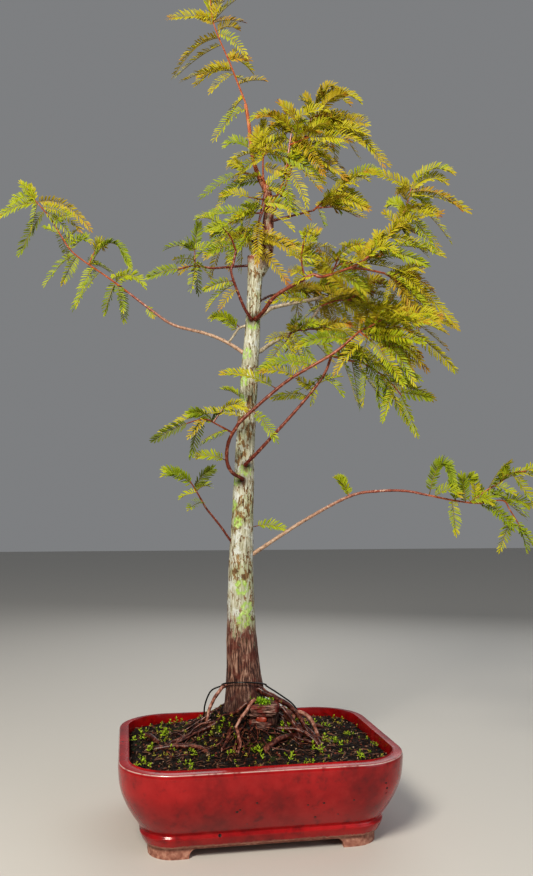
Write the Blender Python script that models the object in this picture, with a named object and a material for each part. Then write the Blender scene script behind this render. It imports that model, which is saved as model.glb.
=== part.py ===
"""A bald cypress bonsai in its glazed pot: trunk, boughs, masses of foliage, surface roots, soil and pot.

Lengths here are millimetres until a mesh is made, and MM turns them to metres. The tree has a frame of
its own: x to the right, y to the back and z up from what the pot stands on, with the pot's centre at
x = y = 0. A heading is an angle round z from the right (0) by the back (90) to the left (180), and a rise
is an angle above the level.
"""

import math
import random

import bmesh
import bpy
from mathutils import Matrix, Vector
from mathutils.bvhtree import BVHTree

MM = 0.001
CLEAR = 0.35  # the gap between two solids that touch
ROUNDING = 0.001
UP = Vector((0, 0, 1))
FRONT = Vector((0, -1, 0))
TREE_TURN = math.radians(-10.9)  # the tree's front is turned this far from the pot's long side
SEED = 11

POT_LENGTH = 300
POT_DEPTH = 245
POT_CORNER = 58
FOOT_INSET = 31
FOOT_HEIGHT = 14
ARCH_HEIGHT = 9
ARCH_LENGTH = 158
ARCH_DEPTH = 104
ARCH_ROUNDING = 0.8  # the share of the arch's height that its corners are rounded by
RIM_WIDTH = 11.5
# height and how far the wall stands in from the rim's edge, up the outside and over the rim
POT_OUTSIDE = (
    (12, 27.5), (15, 25.5), (20, 23), (22.5, 22.5), (25, 24), (29, 21.5), (38, 15), (50, 8),
    (64, 2.4), (78, 0.4), (86, 0), (89.3, 0.8), (90, 3), (90, RIM_WIDTH - 2),
)
# the same down the inside to the floor
POT_INSIDE = ((88.6, RIM_WIDTH), (60, 15), (36, 24), (26, 34), (22, 44))
CORNER_STEPS = 5

SOIL_EDGE = 81
SOIL_FOOT = 112  # the soil's height under the trunk
MOUND_AT = Vector((-6, 42, 0))  # the mound's middle, in the tree's frame
MOUND_WIDTH = 46
MOUND_FLAT = 22  # how far round its middle the mound is level
MOUND_RINGS = (0.8, 0.78, 0.74, 0.7, 0.62)  # how much smaller each ring of the mound is than the last

TRUNK_DEPTH = 30  # how far the trunk stands behind the middle of the pot
# height, drift to the right and radius up the old trunk to its healed cut
TRUNK = (
    (SOIL_FOOT + 0.4, -12, 22.5), (127, -12, 22), (141, -12, 21.2), (174, -14, 19), (225, -16, 16.3),
    (285, -16, 14.5), (350, -14, 12.6), (433, -11, 11.5), (503, -7, 10.6), (547, -4, 9.7),
    (605, -1, 8.8), (634, 0, 9.3), (659, -2, 7.6),
)
# the same up the young trunk that took over beside the cut, and the leader above it
YOUNG_TRUNK = (
    (630, 2, 6), (646, 9, 8.6), (668, 14.5, 8.4), (690, 15.5, 7.5), (710, 17, 6.7), (727, 17, 6.3),
    (745, 14, 5.2), (759, 6, 3.6), (772, 1, 2.8), (792, -4, 2.5), (830, -8, 2.4), (858, -12.4, 2.3),
)
FLARE_HEIGHT = 46
FLARE = 0.26
FLARE_RIDGES = 5
RIDGE_SHARE = 0.5  # how much of the flare stands in its ridges, one of which points to the right
CUTTER_DROP = 8  # how far below the trunk's flat foot its cutter reaches

# name: (what it grows from, the height or the share along it, radius at its foot and tip, its course)
BOUGHS = {
    "bough_front_curl": ("trunk", 379, 2.1, 2.0,
        ((13, -98, 13), (19, -131, 22), (16, -133, 60), (22, -58, 78), (24, -19, 59))),
    "bough_front_reach": ("bough_front_curl", 1, 2.0, 1.6,
        ((46, -7, 41), (34, -9, 37), (54, -10, 29), (30, -9, 38))),
    "bough_right_low": ("trunk", 397, 2.1, 1.5,
        ((14, -77, 12), (31, -28, 41), (65, -10, 47), (43, -4, 52), (24, -6, 67))),
    "bough_long_right": ("trunk", 285, 2.4, 1.3,
        ((12, 0, 26), (74, -5, 33), (64, -9, 28), (35, -10, 10), (31, -11, 0), (26, -12, -11))),
    "bough_long_left": ("trunk", 531, 2.3, 1.3,
        ((35, 170, 34), (30, 169, 25), (45, 171, 17), (36, 170, 35), (40, 173, 38))),
    "bough_left_link": ("trunk", 572, 1.5, 1.4, ((16, 176, -12), (10, 174, -50), (9, 172, -55))),
    "bough_left_low": ("trunk", 297, 1.5, 1.2, ((18, -163, 41), (21, -153, 52), (27, -154, 49))),
    "bough_left_up": ("trunk", 576, 1.9, 1.3,
        ((11, -101, 5), (20, -133, 47), (39, -152, 67), (14, 24, 80), (15, 42, 78))),
    "bough_left_side": ("trunk", 648, 1.6, 1.3, ((38, 178, -3), (23, -175, -6), (14, -176, 7))),
    "bough_right_main": ("trunk", 578, 2.5, 2.1,
        ((12, -65, -2), (15, -52, 22), (24, -35, 42), (39, -20, 25), (11, -17, 21))),
    "bough_right_fork": ("bough_right_main", 1, 1.7, 1.4, ((12, -10, -15), (34, 7, 20), (18, 19, 30))),
    "bough_right_outer": ("bough_right_fork", 0.7, 1.4, 1.2, ((22, 34, 8), (27, 22, -4))),
    "bough_cut_upper": ("trunk", 576, 2.3, 2.1, ((20, -14, 33), (16, 16, 29), (60, 12, 14))),
    "bough_cut_mid": ("trunk", 538, 2.5, 1.6,
        ((12, 19, 10), (22, 34, 34), (53, 27, 31), (18, 27, 44), (18, 22, 53))),
    "bough_back": ("trunk", 598, 2.3, 1.5, ((16, 80, 20), (42, 62, 27), (34, 48, 18))),
    "bough_back_left": ("trunk", 668, 1.7, 1.2, ((14, 140, 25), (30, 125, 38), (18, 112, 30))),
    "bough_right_stem": ("trunk", 703, 1.5, 1.2, ((41, -11, 10), (15, -8, 11))),
    "bough_crown_right": ("trunk", 705, 1.4, 1.2, ((31, 16, 62), (51, 18, 70))),
    "bough_crown_mid": ("trunk", 719, 1.3, 1.2, ((31, -36, 50), (20, -39, 71))),
}

# name: (what it grows from, the height or share, length of a frond, angle between a frond and its shoot,
# its shoots: the share of the stem that a shoot leaves from, and its course; the stem comes first)
MASSES = {
    "foliage_leader": ("trunk", 1, 50, 84,
        ((0, ((53, -174, 69), (58, -172, 68), (46, -166, 83))),)),
    "foliage_crown_top": ("bough_crown_right", 1, 58, 56,
        ((0, ((27, 20, 68), (46, 12, 70), (26, 7, 66))),
         (0.42, ((30, -12, 20),)),
         (0.72, ((22, -8, 0), (18, -8, -40))),
         (0.55, ((24, 165, 40),)))),
    "foliage_crown_mid": ("bough_crown_mid", 1, 52, 56,
        ((0, ((19, -53, 75), (24, -47, 77), (18, -20, 71))),
         (0.5, ((26, -25, 10),)),
         (0.1, ((26, 6, 0),)),
         (0.8, ((22, 176, 30),)))),
    "foliage_crown_left": ("trunk", 746, 46, 62,
        ((0, ((16, -107, 50), (20, -89, 66), (18, -39, 71))),
         (0.25, ((22, 180, 16), (14, 184, -10))),
         (0.75, ((24, 170, 30),)))),
    "foliage_trunk_front": ("trunk", 738, 44, 70,
        ((0, ((22, -98, -45), (18, -116, -66), (14, -146, -70))),
         (0.3, ((22, 178, 10),)),
         (0.75, ((24, 176, 0),)),
         (0.1, ((14, -20, -6),)))),
    "foliage_right_stem": ("bough_right_stem", 1, 42, 50,
        ((0, ((15, -10, 40), (19, -8, 39), (27, -5, 39))),
         (0.1, ((20, -8, 0),)))),
    "foliage_left_curl": ("bough_left_up", 1, 38, 70,
        ((0, ((18, 171, 69), (16, 173, 52))),)),
    "foliage_left_side": ("bough_left_side", 1, 36, 76,
        ((0, ((13, -176, 0), (16, -174, -16))),
         (0.3, ((20, -95, 83),)))),
    "foliage_right_spur": ("bough_right_main", 0.9, 26, 66,
        ((0, ((25, -126, 75), (26, -44, 77))),)),
    "foliage_right_inner": ("bough_right_fork", 0.35, 46, 58,
        ((0, ((20, 60, 44), (24, 32, 20), (22, 10, 0))),
         (0.2, ((18, -60, 50),)))),
    "foliage_inner_low": ("bough_cut_mid", 0.5, 46, 34,
        ((0, ((14, -70, 0), (22, -12, 4), (18, 0, -8))),
         (0.2, ((20, -130, -50),)))),
    "foliage_right_top": ("bough_right_fork", 1, 60, 62,
        ((0, ((50, 7, 45), (32, 8, 61), (39, 10, 72))),)),
    "foliage_right_outer": ("bough_right_outer", 1, 48, 36,
        ((0, ((20, 12, -30), (22, 6, -50))),
         (0.2, ((20, -4, 10),)),
         (0.35, ((26, 50, -20),)))),
    "foliage_right_front": ("bough_front_reach", 1, 62, 38,
        ((0, ((14, -30, 30), (26, -14, 6), (24, -5, -12))),
         (0.3, ((22, -50, 14),)),
         (0.5, ((22, 30, 24),)),
         (0.15, ((18, -20, -40),)))),
    "foliage_right_low": ("bough_right_low", 1, 46, 42,
        ((0, ((18, -20, -20), (24, -8, -14), (30, -5, -36), (26, -5, -50))),
         (0.2, ((20, -120, 20),)))),
    "foliage_right_mid": ("bough_cut_mid", 1, 62, 40,
        ((0, ((24, 11, 20), (26, 8, 0), (26, 8, -12))),
         (0.4, ((26, 70, 10),)),
         (0.5, ((26, -30, 24),)))),
    "foliage_back": ("bough_back", 1, 58, 55,
        ((0, ((28, 40, 14), (28, 30, 2), (22, 20, -12))),
         (0.35, ((28, 110, 16),)),
         (0.6, ((26, -30, 24),)))),
    "foliage_back_left": ("bough_back_left", 1, 48, 60,
        ((0, ((26, 120, 24), (24, 140, 4))),
         (0.4, ((24, 60, 22),)))),
    "foliage_long_right": ("bough_long_right", 1, 38, 66,
        ((0, ((28, -9, -12), (28, -8, -7), (27, -4, 7), (14, 0, -52), (26, 0, -60))),
         (0.38, ((24, -3, 35), (20, -3, 31), (14, -6, 41), (18, 0, 9))))),
    "foliage_long_left": ("bough_long_left", 1, 46, 96,
        ((0, ((33, 173, 37), (54, 177, 36), (31, 178, 54), (26, 180, 58), (32, 180, 50))),
         (0.36, ((20, 20, 68),)))),
    "foliage_left_low": ("bough_left_low", 1, 34, 66,
        ((0, ((22, -159, 59), (17, -167, 58))),)),
    "foliage_left_spray": ("bough_front_curl", 0.86, 40, 60,
        ((0, ((19, -166, 27), (14, -171, 26), (12, -175, -3), (13, -175, -17))),
         (0.45, ((20, 15, 55),)))),
}
FROND_SPACING = 18.5
FIRST_FROND = 8
OUTWARD_GAIN = 0.18  # fronds that point away from the trunk grow longer by this share
TIP_LEAN = 14  # the last frond goes on nearly straight from its shoot
LEAN_SPREAD = 13
ROLL_SPREAD = 22
FRONT_EACH = 3
FRONT_ROLL = 46  # how far each third frond turns to the front or back
ALONG_VIEW = 0.3  # a shoot that points this nearly to the front spreads its fronds sideways
STEEPEST = 0.6  # a frond that rises more than this leans over, away from the trunk
LEAN_OVER = 1.8
DROOP = (0.12, 0.34)
RISING_DROOP = 0.5  # a frond that starts upwards arches over by this much more
SIZE_SPREAD = (0.8, 1.12)
FACING_RISE = (0.1, 0.7)
FACING_TURN = 0.4
ALONG_FACING = 0.8  # a frond that points this much to its facing lies flat instead
SHOOT_FOOT = 1.25
SHOOT_TIP = 0.8
SIDE_SHOOT = 0.9  # how thick a side shoot's foot is next to the stem's
TIP_STRAIGHT = 1.5  # how far a limb goes on straight from the tip that it follows

# name: (what it grows from, the height or share, heading, rise, length of its one frond)
SPRIGS = {
    "sprig_trunk": ("trunk", 322, 0, 12, 32),
    "sprig_long_right": ("bough_long_right", 0.62, 150, 68, 27),
    "sprig_front_curl": ("bough_front_curl", 0.5, 172, 24, 34),
    "sprig_front_hanging": ("bough_front_reach", 0.13, -30, -38, 36),
    "sprig_front_across": ("bough_front_reach", 0.36, 178, 32, 70),
    "sprig_left_up": ("bough_left_up", 0.62, 186, -4, 30),
    "sprig_left_link": ("bough_left_link", 0.45, 178, 40, 34),
}
TRUNK_STALK = 20
BOUGH_STALK = 6
STALK_RADIUS = 0.85
SUNK = 2  # how deep a frond's foot sits in its shoot
SPRIG_FACING = 0.4
SPRIG_DROOP = 0.3

TEETH = 3  # on each side of a frond
BARE_FOOT = 0.6  # the share of a frond's first segment that has no tooth
STALK_HALF_WIDTH = 1.3
STALK_TAPER = 0.45
BLADE_HALF_WIDTH = 4.6
BLADE_SWELL = 0.8  # the power of the sine that rounds a blade's width
BLADE_HALF_THICKNESS = 0.5
BLADE_THINNING = 0.3
TOOTH_REACH = 9.5
TOOTH_SWEEP = 4
TOOTH_SWELL = 0.6
TOOTH_RANGE = (0.18, 0.9)  # the part of a half turn of the sine that the teeth's reach runs through
SHRINKS = (1, 0.8, 0.62)  # the sizes that a frond is tried at
FIT_MARGIN = 0.6

# name: (the heading where it leaves the trunk, radius at its foot and tip, its course on the soil)
ROOTS = {
    "root_left": (226, 2.8, 1.7, ((26, 204), (24, 180), (22, 200))),
    "root_front_left": (-128, 2.2, 1.5, ((14, -95), (22, -94), (18, -106))),
    "root_front": (-95, 2.6, 1.6, ((10, -110), (20, -85), (22, -87))),
    "root_right": (0, 3.4, 1.9, ((33, -29), (20, 24), (16, -40), (26, -75))),
    "root_back_right": (32, 3.0, 1.8, ((26, 8), (24, 14), (28, 10))),
    "root_back": (118, 3.2, 2.0, ((28, 124), (24, 146))),
}
# name: (the height where it leaves the trunk, radius at its foot and tip, its course down to the soil)
HIGH_ROOTS = {
    "root_ridge": (139, 4.2, 2.0, (
        (24, -38, -4), (21, -10, -25), (20, 0, -30), (21, -17, -50), (22, -27, -55))),
    "root_aerial": (146, 2.4, 1.6, (
        (24, 195, -15), (17, 195, -49), (11, 202, -62), (14, 207, -71), (9, 225, -80))),
}
ROOT_START = 22
ROOT_PROUD = 0.3  # how much of its radius a root's middle lies above the soil
KNOB_AT = Vector((11, 8, 108))
KNOB_SIZE = (18, 15, 15.5)
KNOB_CUT = 0.75
TIE_HEIGHT = 138
TIE_BAND = 14
TIE_RISE = 10  # how much higher the tie lies on the trunk's front than on its sides
TIE_ENDS = (170, 370)  # the headings between which the tie lies on the trunk, by way of its front
TIE_STEP = 20
TIE_RADIUS = 0.9
TIE_LEFT = ((15, 172, -25), (18, 165, -65), (15, 160, -85))
TIE_RIGHT = ((20, 8, -33), (21, 8, -38), (22, 12, -62))


def heading_vector(heading, rise=0):
    """The unit vector at a heading and a rise, both in degrees."""
    turn = math.radians(heading)
    lift = math.radians(rise)
    return Vector((math.cos(turn) * math.cos(lift), math.sin(turn) * math.cos(lift), math.sin(lift)))


def walk(start, course):
    """The way points from a start through legs of (length, heading, rise)."""
    points = [Vector(start)]
    for length, heading, rise in course:
        points.append(points[-1] + heading_vector(heading, rise) * length)
    return points


def smooth(points, steps=3):
    """A Catmull-Rom curve through the points, with the given steps between two of them."""
    ends = [points[0] * 2 - points[1], *points, points[-1] * 2 - points[-2]]
    curve = []
    for a, b, c, d in zip(ends, ends[1:], ends[2:], ends[3:]):
        for step in range(steps):
            t = step / steps
            curve.append((b * 2 + (c - a) * t + (a * 2 - b * 5 + c * 4 - d) * t * t
                          + (b * 3 - a - c * 3 + d) * t ** 3) / 2)
    return [*curve, points[-1].copy()]


def taper(points, foot, tip):
    """Radii that fall evenly along the points."""
    return [foot + (tip - foot) * i / (len(points) - 1) for i in range(len(points))]


def way_points(line):
    """A line of two steps a leg with only the ends of its legs kept."""
    kept = line[::-2][::-1]
    return kept if kept[0] is line[0] else [line[0], *kept]


def lengths_along(points):
    """How far along the line each point lies."""
    marks = [0]
    for a, b in zip(points, points[1:]):
        marks.append(marks[-1] + (b - a).length)
    return marks


def at_length(points, wanted):
    """The place and the direction at a length along the line."""
    marks = lengths_along(points)
    for a, b, low, high in zip(points, points[1:], marks, marks[1:]):
        if wanted <= high or high == marks[-1]:
            return a.lerp(b, (wanted - low) / (high - low)), (b - a).normalized()


def at_height(points, height):
    """The place where the line passes a height."""
    for a, b in zip(points, points[1:]):
        if a.z <= height <= b.z:
            return a.lerp(b, (height - a.z) / (b.z - a.z))


def finish(obj, collection, material):
    """Puts a finished node in the part's collection with its material."""
    for other in list(obj.users_collection):
        other.objects.unlink(obj)
    collection.objects.link(obj)
    obj.data.materials.clear()
    obj.data.materials.append(material)
    return obj


def make_material(name, colour, roughness, metallic=0.0):
    """A Principled material from an sRGB hex colour."""
    material = bpy.data.materials.new(name)
    material.use_nodes = True
    shader = material.node_tree.nodes["Principled BSDF"]
    channels = [int(colour[i:i + 2], 16) / 255 for i in (1, 3, 5)]
    linear = [c / 12.92 if c <= 0.04045 else ((c + 0.055) / 1.055) ** 2.4 for c in channels]
    shader.inputs["Base Color"].default_value = (*linear, 1)
    shader.inputs["Roughness"].default_value = roughness
    shader.inputs["Metallic"].default_value = metallic
    return material


def tube(name, points, radii, resolution):
    """A closed tube through the points, made as a curve with a bevel and turned into a welded mesh."""
    curve = bpy.data.curves.new(name, "CURVE")
    curve.dimensions = "3D"
    curve.bevel_depth = MM
    curve.bevel_resolution = resolution
    curve.use_fill_caps = True
    spline = curve.splines.new("POLY")
    spline.points.add(len(points) - 1)
    for target, place, radius in zip(spline.points, points, radii):
        target.co = (*(place * MM), 1)
        target.radius = radius
    source = bpy.data.objects.new(name, curve)
    bpy.context.scene.collection.objects.link(source)
    bpy.context.view_layer.update()
    graph = bpy.context.evaluated_depsgraph_get()
    mesh = bpy.data.meshes.new_from_object(source.evaluated_get(graph))
    bpy.data.objects.remove(source)
    bpy.data.curves.remove(curve)
    mesh.name = name
    welded = bmesh.new()
    welded.from_mesh(mesh)
    bmesh.ops.remove_doubles(welded, verts=welded.verts, dist=1e-6)
    bmesh.ops.recalc_face_normals(welded, faces=welded.faces)
    welded.to_mesh(mesh)
    welded.free()
    obj = bpy.data.objects.new(name, mesh)
    bpy.context.scene.collection.objects.link(obj)
    return obj


def object_from(name, shape):
    """A linked object from a bmesh in millimetres."""
    bmesh.ops.scale(shape, vec=(MM, MM, MM), verts=shape.verts)
    mesh = bpy.data.meshes.new(name)
    shape.to_mesh(mesh)
    shape.free()
    obj = bpy.data.objects.new(name, mesh)
    bpy.context.scene.collection.objects.link(obj)
    return obj


def apply_modifier(obj, modifier):
    """Applies one modifier."""
    with bpy.context.temp_override(object=obj, active_object=obj):
        bpy.ops.object.modifier_apply(modifier=modifier.name)


def cut(obj, cutters, operation="DIFFERENCE", solver="EXACT"):
    """Cuts a mesh by others, or joins them to it, and removes them."""
    helpers = bpy.data.collections.new("cutters")
    bpy.context.scene.collection.children.link(helpers)
    for cutter in cutters:
        for other in list(cutter.users_collection):
            other.objects.unlink(cutter)
        helpers.objects.link(cutter)
    boolean = obj.modifiers.new("cut", "BOOLEAN")
    boolean.operation = operation
    boolean.operand_type = "COLLECTION"
    boolean.collection = helpers
    boolean.solver = solver
    apply_modifier(obj, boolean)
    for cutter in cutters:
        bpy.data.objects.remove(cutter)
    bpy.data.collections.remove(helpers)
    return obj


def keep_whole(obj):
    """Keeps the largest body of a mesh, which drops loose scraps and fills any sealed hollow."""
    shape = bmesh.new()
    shape.from_mesh(obj.data)
    bmesh.ops.remove_doubles(shape, verts=shape.verts, dist=1e-6)
    seen = set()
    bodies = []
    for face in shape.faces:
        if face in seen:
            continue
        body = []
        queue = [face]
        seen.add(face)
        while queue:
            current = queue.pop()
            body.append(current)
            for edge in current.edges:
                for neighbour in edge.link_faces:
                    if neighbour not in seen:
                        seen.add(neighbour)
                        queue.append(neighbour)
        bodies.append(body)
    bodies.sort(key=lambda faces: sum(face.calc_area() for face in faces))
    dropped = [face for body in bodies[:-1] for face in body]
    bmesh.ops.delete(shape, geom=dropped, context="FACES")
    shape.to_mesh(obj.data)
    shape.free()


def bvh_of(obj):
    """A search tree of a mesh, in millimetres."""
    corners = [obj.matrix_world @ vertex.co / MM for vertex in obj.data.vertices]
    return BVHTree.FromPolygons(corners, [list(face.vertices) for face in obj.data.polygons])


def drawn_in(place, before, after):
    """Moves a point of the pot's outline from one inset to another, so that the corners stay round."""
    centre = Vector((
        math.copysign(POT_LENGTH / 2 - POT_CORNER, place.x),
        math.copysign(POT_DEPTH / 2 - POT_CORNER, place.y),
    ))
    return centre + (place.xy - centre) * (POT_CORNER - after) / (POT_CORNER - before)


def raise_face(shape, face):
    """Extrudes a face, takes away the one that it leaves inside, and gives back the new one."""
    inside = all(len(edge.link_faces) > 1 for edge in face.edges)
    made = bmesh.ops.extrude_face_region(shape, geom=[face])
    if inside and face.is_valid:
        bmesh.ops.delete(shape, geom=[face], context="FACES_ONLY")
    return next(item for item in made["geom"] if isinstance(item, bmesh.types.BMFace))


def stack(profile):
    """A closed form whose outline is the pot's, drawn in and raised step by step up a profile."""
    shape = bmesh.new()
    bmesh.ops.create_grid(shape, x_segments=1, y_segments=1, size=0.5)
    bmesh.ops.scale(shape, vec=(POT_LENGTH, POT_DEPTH, 1), verts=shape.verts)
    bmesh.ops.bevel(shape, geom=list(shape.verts), offset=POT_CORNER, segments=CORNER_STEPS,
                    profile=0.5, affect="VERTICES")
    shape.faces.ensure_lookup_table()
    face = shape.faces[0]
    before = 0
    for height, inset in profile:
        if (height, inset) != profile[0]:
            face = raise_face(shape, face)
        for vertex in face.verts:
            vertex.co = (*drawn_in(vertex.co, before, inset), height)
        before = inset
    bmesh.ops.recalc_face_normals(shape, faces=shape.faces)
    return shape


def rounded_block(length, depth, height, radius):
    """A block along z with rounded upright edges, from a cube, standing on z = 0."""
    shape = bmesh.new()
    bmesh.ops.create_cube(shape, size=1)
    bmesh.ops.scale(shape, vec=(length, depth, height), verts=shape.verts)
    bmesh.ops.translate(shape, vec=(0, 0, height / 2), verts=shape.verts)
    upright = [edge for edge in shape.edges if abs(edge.verts[0].co.z - edge.verts[1].co.z) > height / 2]
    bmesh.ops.bevel(shape, geom=upright, offset=radius, segments=4, profile=0.5, affect="EDGES")
    return shape


def arch_cutter(name, length, across, along_x):
    """A low bar with its two upper long edges rounded, which opens an arch between two feet."""
    shape = bmesh.new()
    bmesh.ops.create_cube(shape, size=1)
    bmesh.ops.scale(shape, vec=(length, across, 2 * ARCH_HEIGHT), verts=shape.verts)
    top = [edge for edge in shape.edges
           if min(vertex.co.z for vertex in edge.verts) > 0
           and abs(edge.verts[0].co.y - edge.verts[1].co.y) > across / 2]
    bmesh.ops.bevel(shape, geom=top, offset=ARCH_HEIGHT * ARCH_ROUNDING, segments=3, profile=0.5,
                    affect="EDGES")
    if along_x:
        bmesh.ops.rotate(shape, verts=shape.verts, matrix=Matrix.Rotation(math.pi / 2, 3, "Z"))
    return object_from(name, shape)


def make_pot():
    """The glazed bowl and its four unglazed corner feet."""
    bowl = object_from("pot", stack((*POT_OUTSIDE, *POT_INSIDE)))
    foot = object_from("foot", rounded_block(
        POT_LENGTH - 2 * FOOT_INSET, POT_DEPTH - 2 * FOOT_INSET, FOOT_HEIGHT, POT_CORNER - FOOT_INSET))
    front_arch = arch_cutter("front_arch", ARCH_LENGTH, POT_DEPTH, False)
    side_arch = arch_cutter("side_arch", ARCH_DEPTH, POT_LENGTH, True)
    cut(foot, [front_arch, side_arch])
    return cut(bowl, [foot], "UNION")


def soil_height(place, mound):
    """The soil's height at a place, as a low mound."""
    away = (place.xy - mound.xy).length
    return SOIL_EDGE + (SOIL_FOOT - SOIL_EDGE) * math.exp(-(max(away - MOUND_FLAT, 0) / MOUND_WIDTH) ** 2)


def make_soil(foot, mound):
    """The soil that fills the pot up to its mound, with a flat place under the trunk."""
    walls = [(height + CLEAR, inset + CLEAR) for height, inset in reversed(POT_INSIDE[1:])]
    shape = stack((*walls, (SOIL_EDGE, POT_INSIDE[0][1] + 4 * CLEAR)))
    top = max(shape.faces, key=lambda face: face.calc_center_median().z)
    for share in MOUND_RINGS:
        top = raise_face(shape, top)
        for vertex in top.verts:
            vertex.co.xy = foot.xy + (vertex.co.xy - foot.xy) * share
            vertex.co.z = soil_height(vertex.co, mound)
    for vertex in top.verts:
        vertex.co.z = SOIL_FOOT
    bmesh.ops.recalc_face_normals(shape, faces=shape.faces)
    return object_from("soil", shape)


def stations(rows):
    """Points and radii from rows of height, drift and radius."""
    return [Vector((drift, TRUNK_DEPTH, height)) for height, drift, _ in rows], [row[2] for row in rows]


def trunk_line():
    """The middle line of the whole trunk, old and young."""
    old, _ = stations(TRUNK[:-2])
    young, _ = stations(YOUNG_TRUNK[1:])
    return [*old, *young]


def trunk_solid(name, extra=0.0):
    """Old trunk, healed cut, young trunk and leader in one solid, made fatter by the extra."""
    old_points, old_radii = stations(TRUNK)
    foot = old_points[0]
    line = smooth(old_points, 2)
    radii = spread(old_radii, 2, extra)
    if extra:
        line.insert(0, foot - UP * CUTTER_DROP)
        radii.insert(0, radii[0])
    trunk = tube(name, line, radii, 4)
    for vertex in trunk.data.vertices:
        place = vertex.co / MM
        height = place.z - foot.z
        if height < FLARE_HEIGHT:
            angle = math.atan2(place.y - foot.y, place.x - foot.x)
            ridge = 1 - RIDGE_SHARE + RIDGE_SHARE * math.cos(FLARE_RIDGES * angle)
            swell = 1 + FLARE * ridge * (1 - max(height, 0) / FLARE_HEIGHT) ** 2
            vertex.co.xy = (foot.xy + (place.xy - foot.xy) * swell) * MM
        if abs(height) < 1:
            vertex.co.z = foot.z * MM
    young_points, young_radii = stations(YOUNG_TRUNK)
    young = tube("young", smooth(young_points, 2), spread(young_radii, 2, extra), 3)
    return cut(trunk, [young], "UNION")


def spread(values, steps, extra=0.0):
    """Values between the stations, to go with smooth()."""
    between = []
    for a, b in zip(values, values[1:]):
        between += [a + (b - a) * step / steps + extra for step in range(steps)]
    return [*between, values[-1] + extra]


class Limb:
    """The line and the radii of a limb, which other limbs grow from."""

    def __init__(self, points, radii=None):
        self.points = points
        self.radii = radii

    def start(self, where):
        """The place, direction and radius at a share of the limb, or at a height on the trunk."""
        if where > 1:
            return at_height(self.points, where), None
        return at_length(self.points, where * lengths_along(self.points)[-1])


def limb_line(parent, where, course, steps):
    """The curve of a limb that grows from its parent, and whether it starts at the parent's tip."""
    place, direction = parent.start(where)
    if where != 1:
        return smooth(walk(place, course), steps), False
    begin = place + direction * CLEAR
    return [begin, *smooth(walk(begin + direction * TIP_STRAIGHT, course), steps)], True


def seat(obj, parent_name, limbs):
    """Cuts a limb clear of what it grows from."""
    parent = limbs[parent_name]
    if parent_name == "trunk":
        cutter = trunk_solid("cutter", CLEAR)
    else:
        cutter = tube("cutter", parent.points, [radius + CLEAR for radius in parent.radii], 1)
    cut(obj, [cutter])
    keep_whole(obj)


def unit_blade(segments):
    """A frond one unit long: a slim core along +X, with a pointed tooth on each side of each segment."""
    shape = bmesh.new()
    bmesh.ops.create_cube(shape, size=1)
    bmesh.ops.translate(shape, vec=(0.5, 0, 0), verts=shape.verts)
    long_edges = [edge for edge in shape.edges if abs(edge.verts[0].co.x - edge.verts[1].co.x) > 0.5]
    bmesh.ops.subdivide_edges(shape, edges=long_edges, cuts=segments - 1, use_grid_fill=True)
    sides = [face for face in shape.faces if abs(face.normal.y) > 0.5]
    toothed = [face for face in sides if face.calc_center_median().x > BARE_FOOT / segments]
    poked = bmesh.ops.poke(shape, faces=toothed, offset=0)
    for vertex in poked["verts"]:
        vertex.co.y *= 2
    bmesh.ops.triangulate(shape, faces=shape.faces)
    corners = [vertex.co.copy() for vertex in shape.verts]
    faces = [[vertex.index for vertex in face.verts] for face in shape.faces]
    shape.free()
    return corners, faces


def frond_points(base, direction, facing, length, droop, corners, fat=0.0):
    """Bends the unit blade along an arch that droops, with its flat side turned to the facing."""
    placed = []
    for corner in corners:
        t = corner.x
        middle = base + (direction * t - UP * droop * t * t) * length
        tangent = (direction - UP * 2 * droop * t).normalized()
        side = tangent.cross(facing).normalized()
        flat = side.cross(tangent)
        if abs(corner.y) > 0.5 + ROUNDING:
            low, high = TOOTH_RANGE
            swell = math.sin(math.pi * (low + (high - low) * t)) ** TOOTH_SWELL
            reach = math.copysign(TOOTH_REACH * swell + fat, corner.y)
            placed.append(middle + side * reach + tangent * TOOTH_SWEEP)
        else:
            swell = math.sin(math.pi * t) ** BLADE_SWELL if ROUNDING < t < 1 - ROUNDING else 0
            width = STALK_HALF_WIDTH * (1 - STALK_TAPER * t) + (BLADE_HALF_WIDTH - STALK_HALF_WIDTH) * swell
            width = math.copysign(width + fat, corner.y)
            depth = math.copysign(BLADE_HALF_THICKNESS * (1 - BLADE_THINNING * t) + fat, corner.z)
            tip = fat if t > 1 - ROUNDING else 0
            placed.append(middle + side * width + flat * depth + tangent * tip)
    return placed


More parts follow.
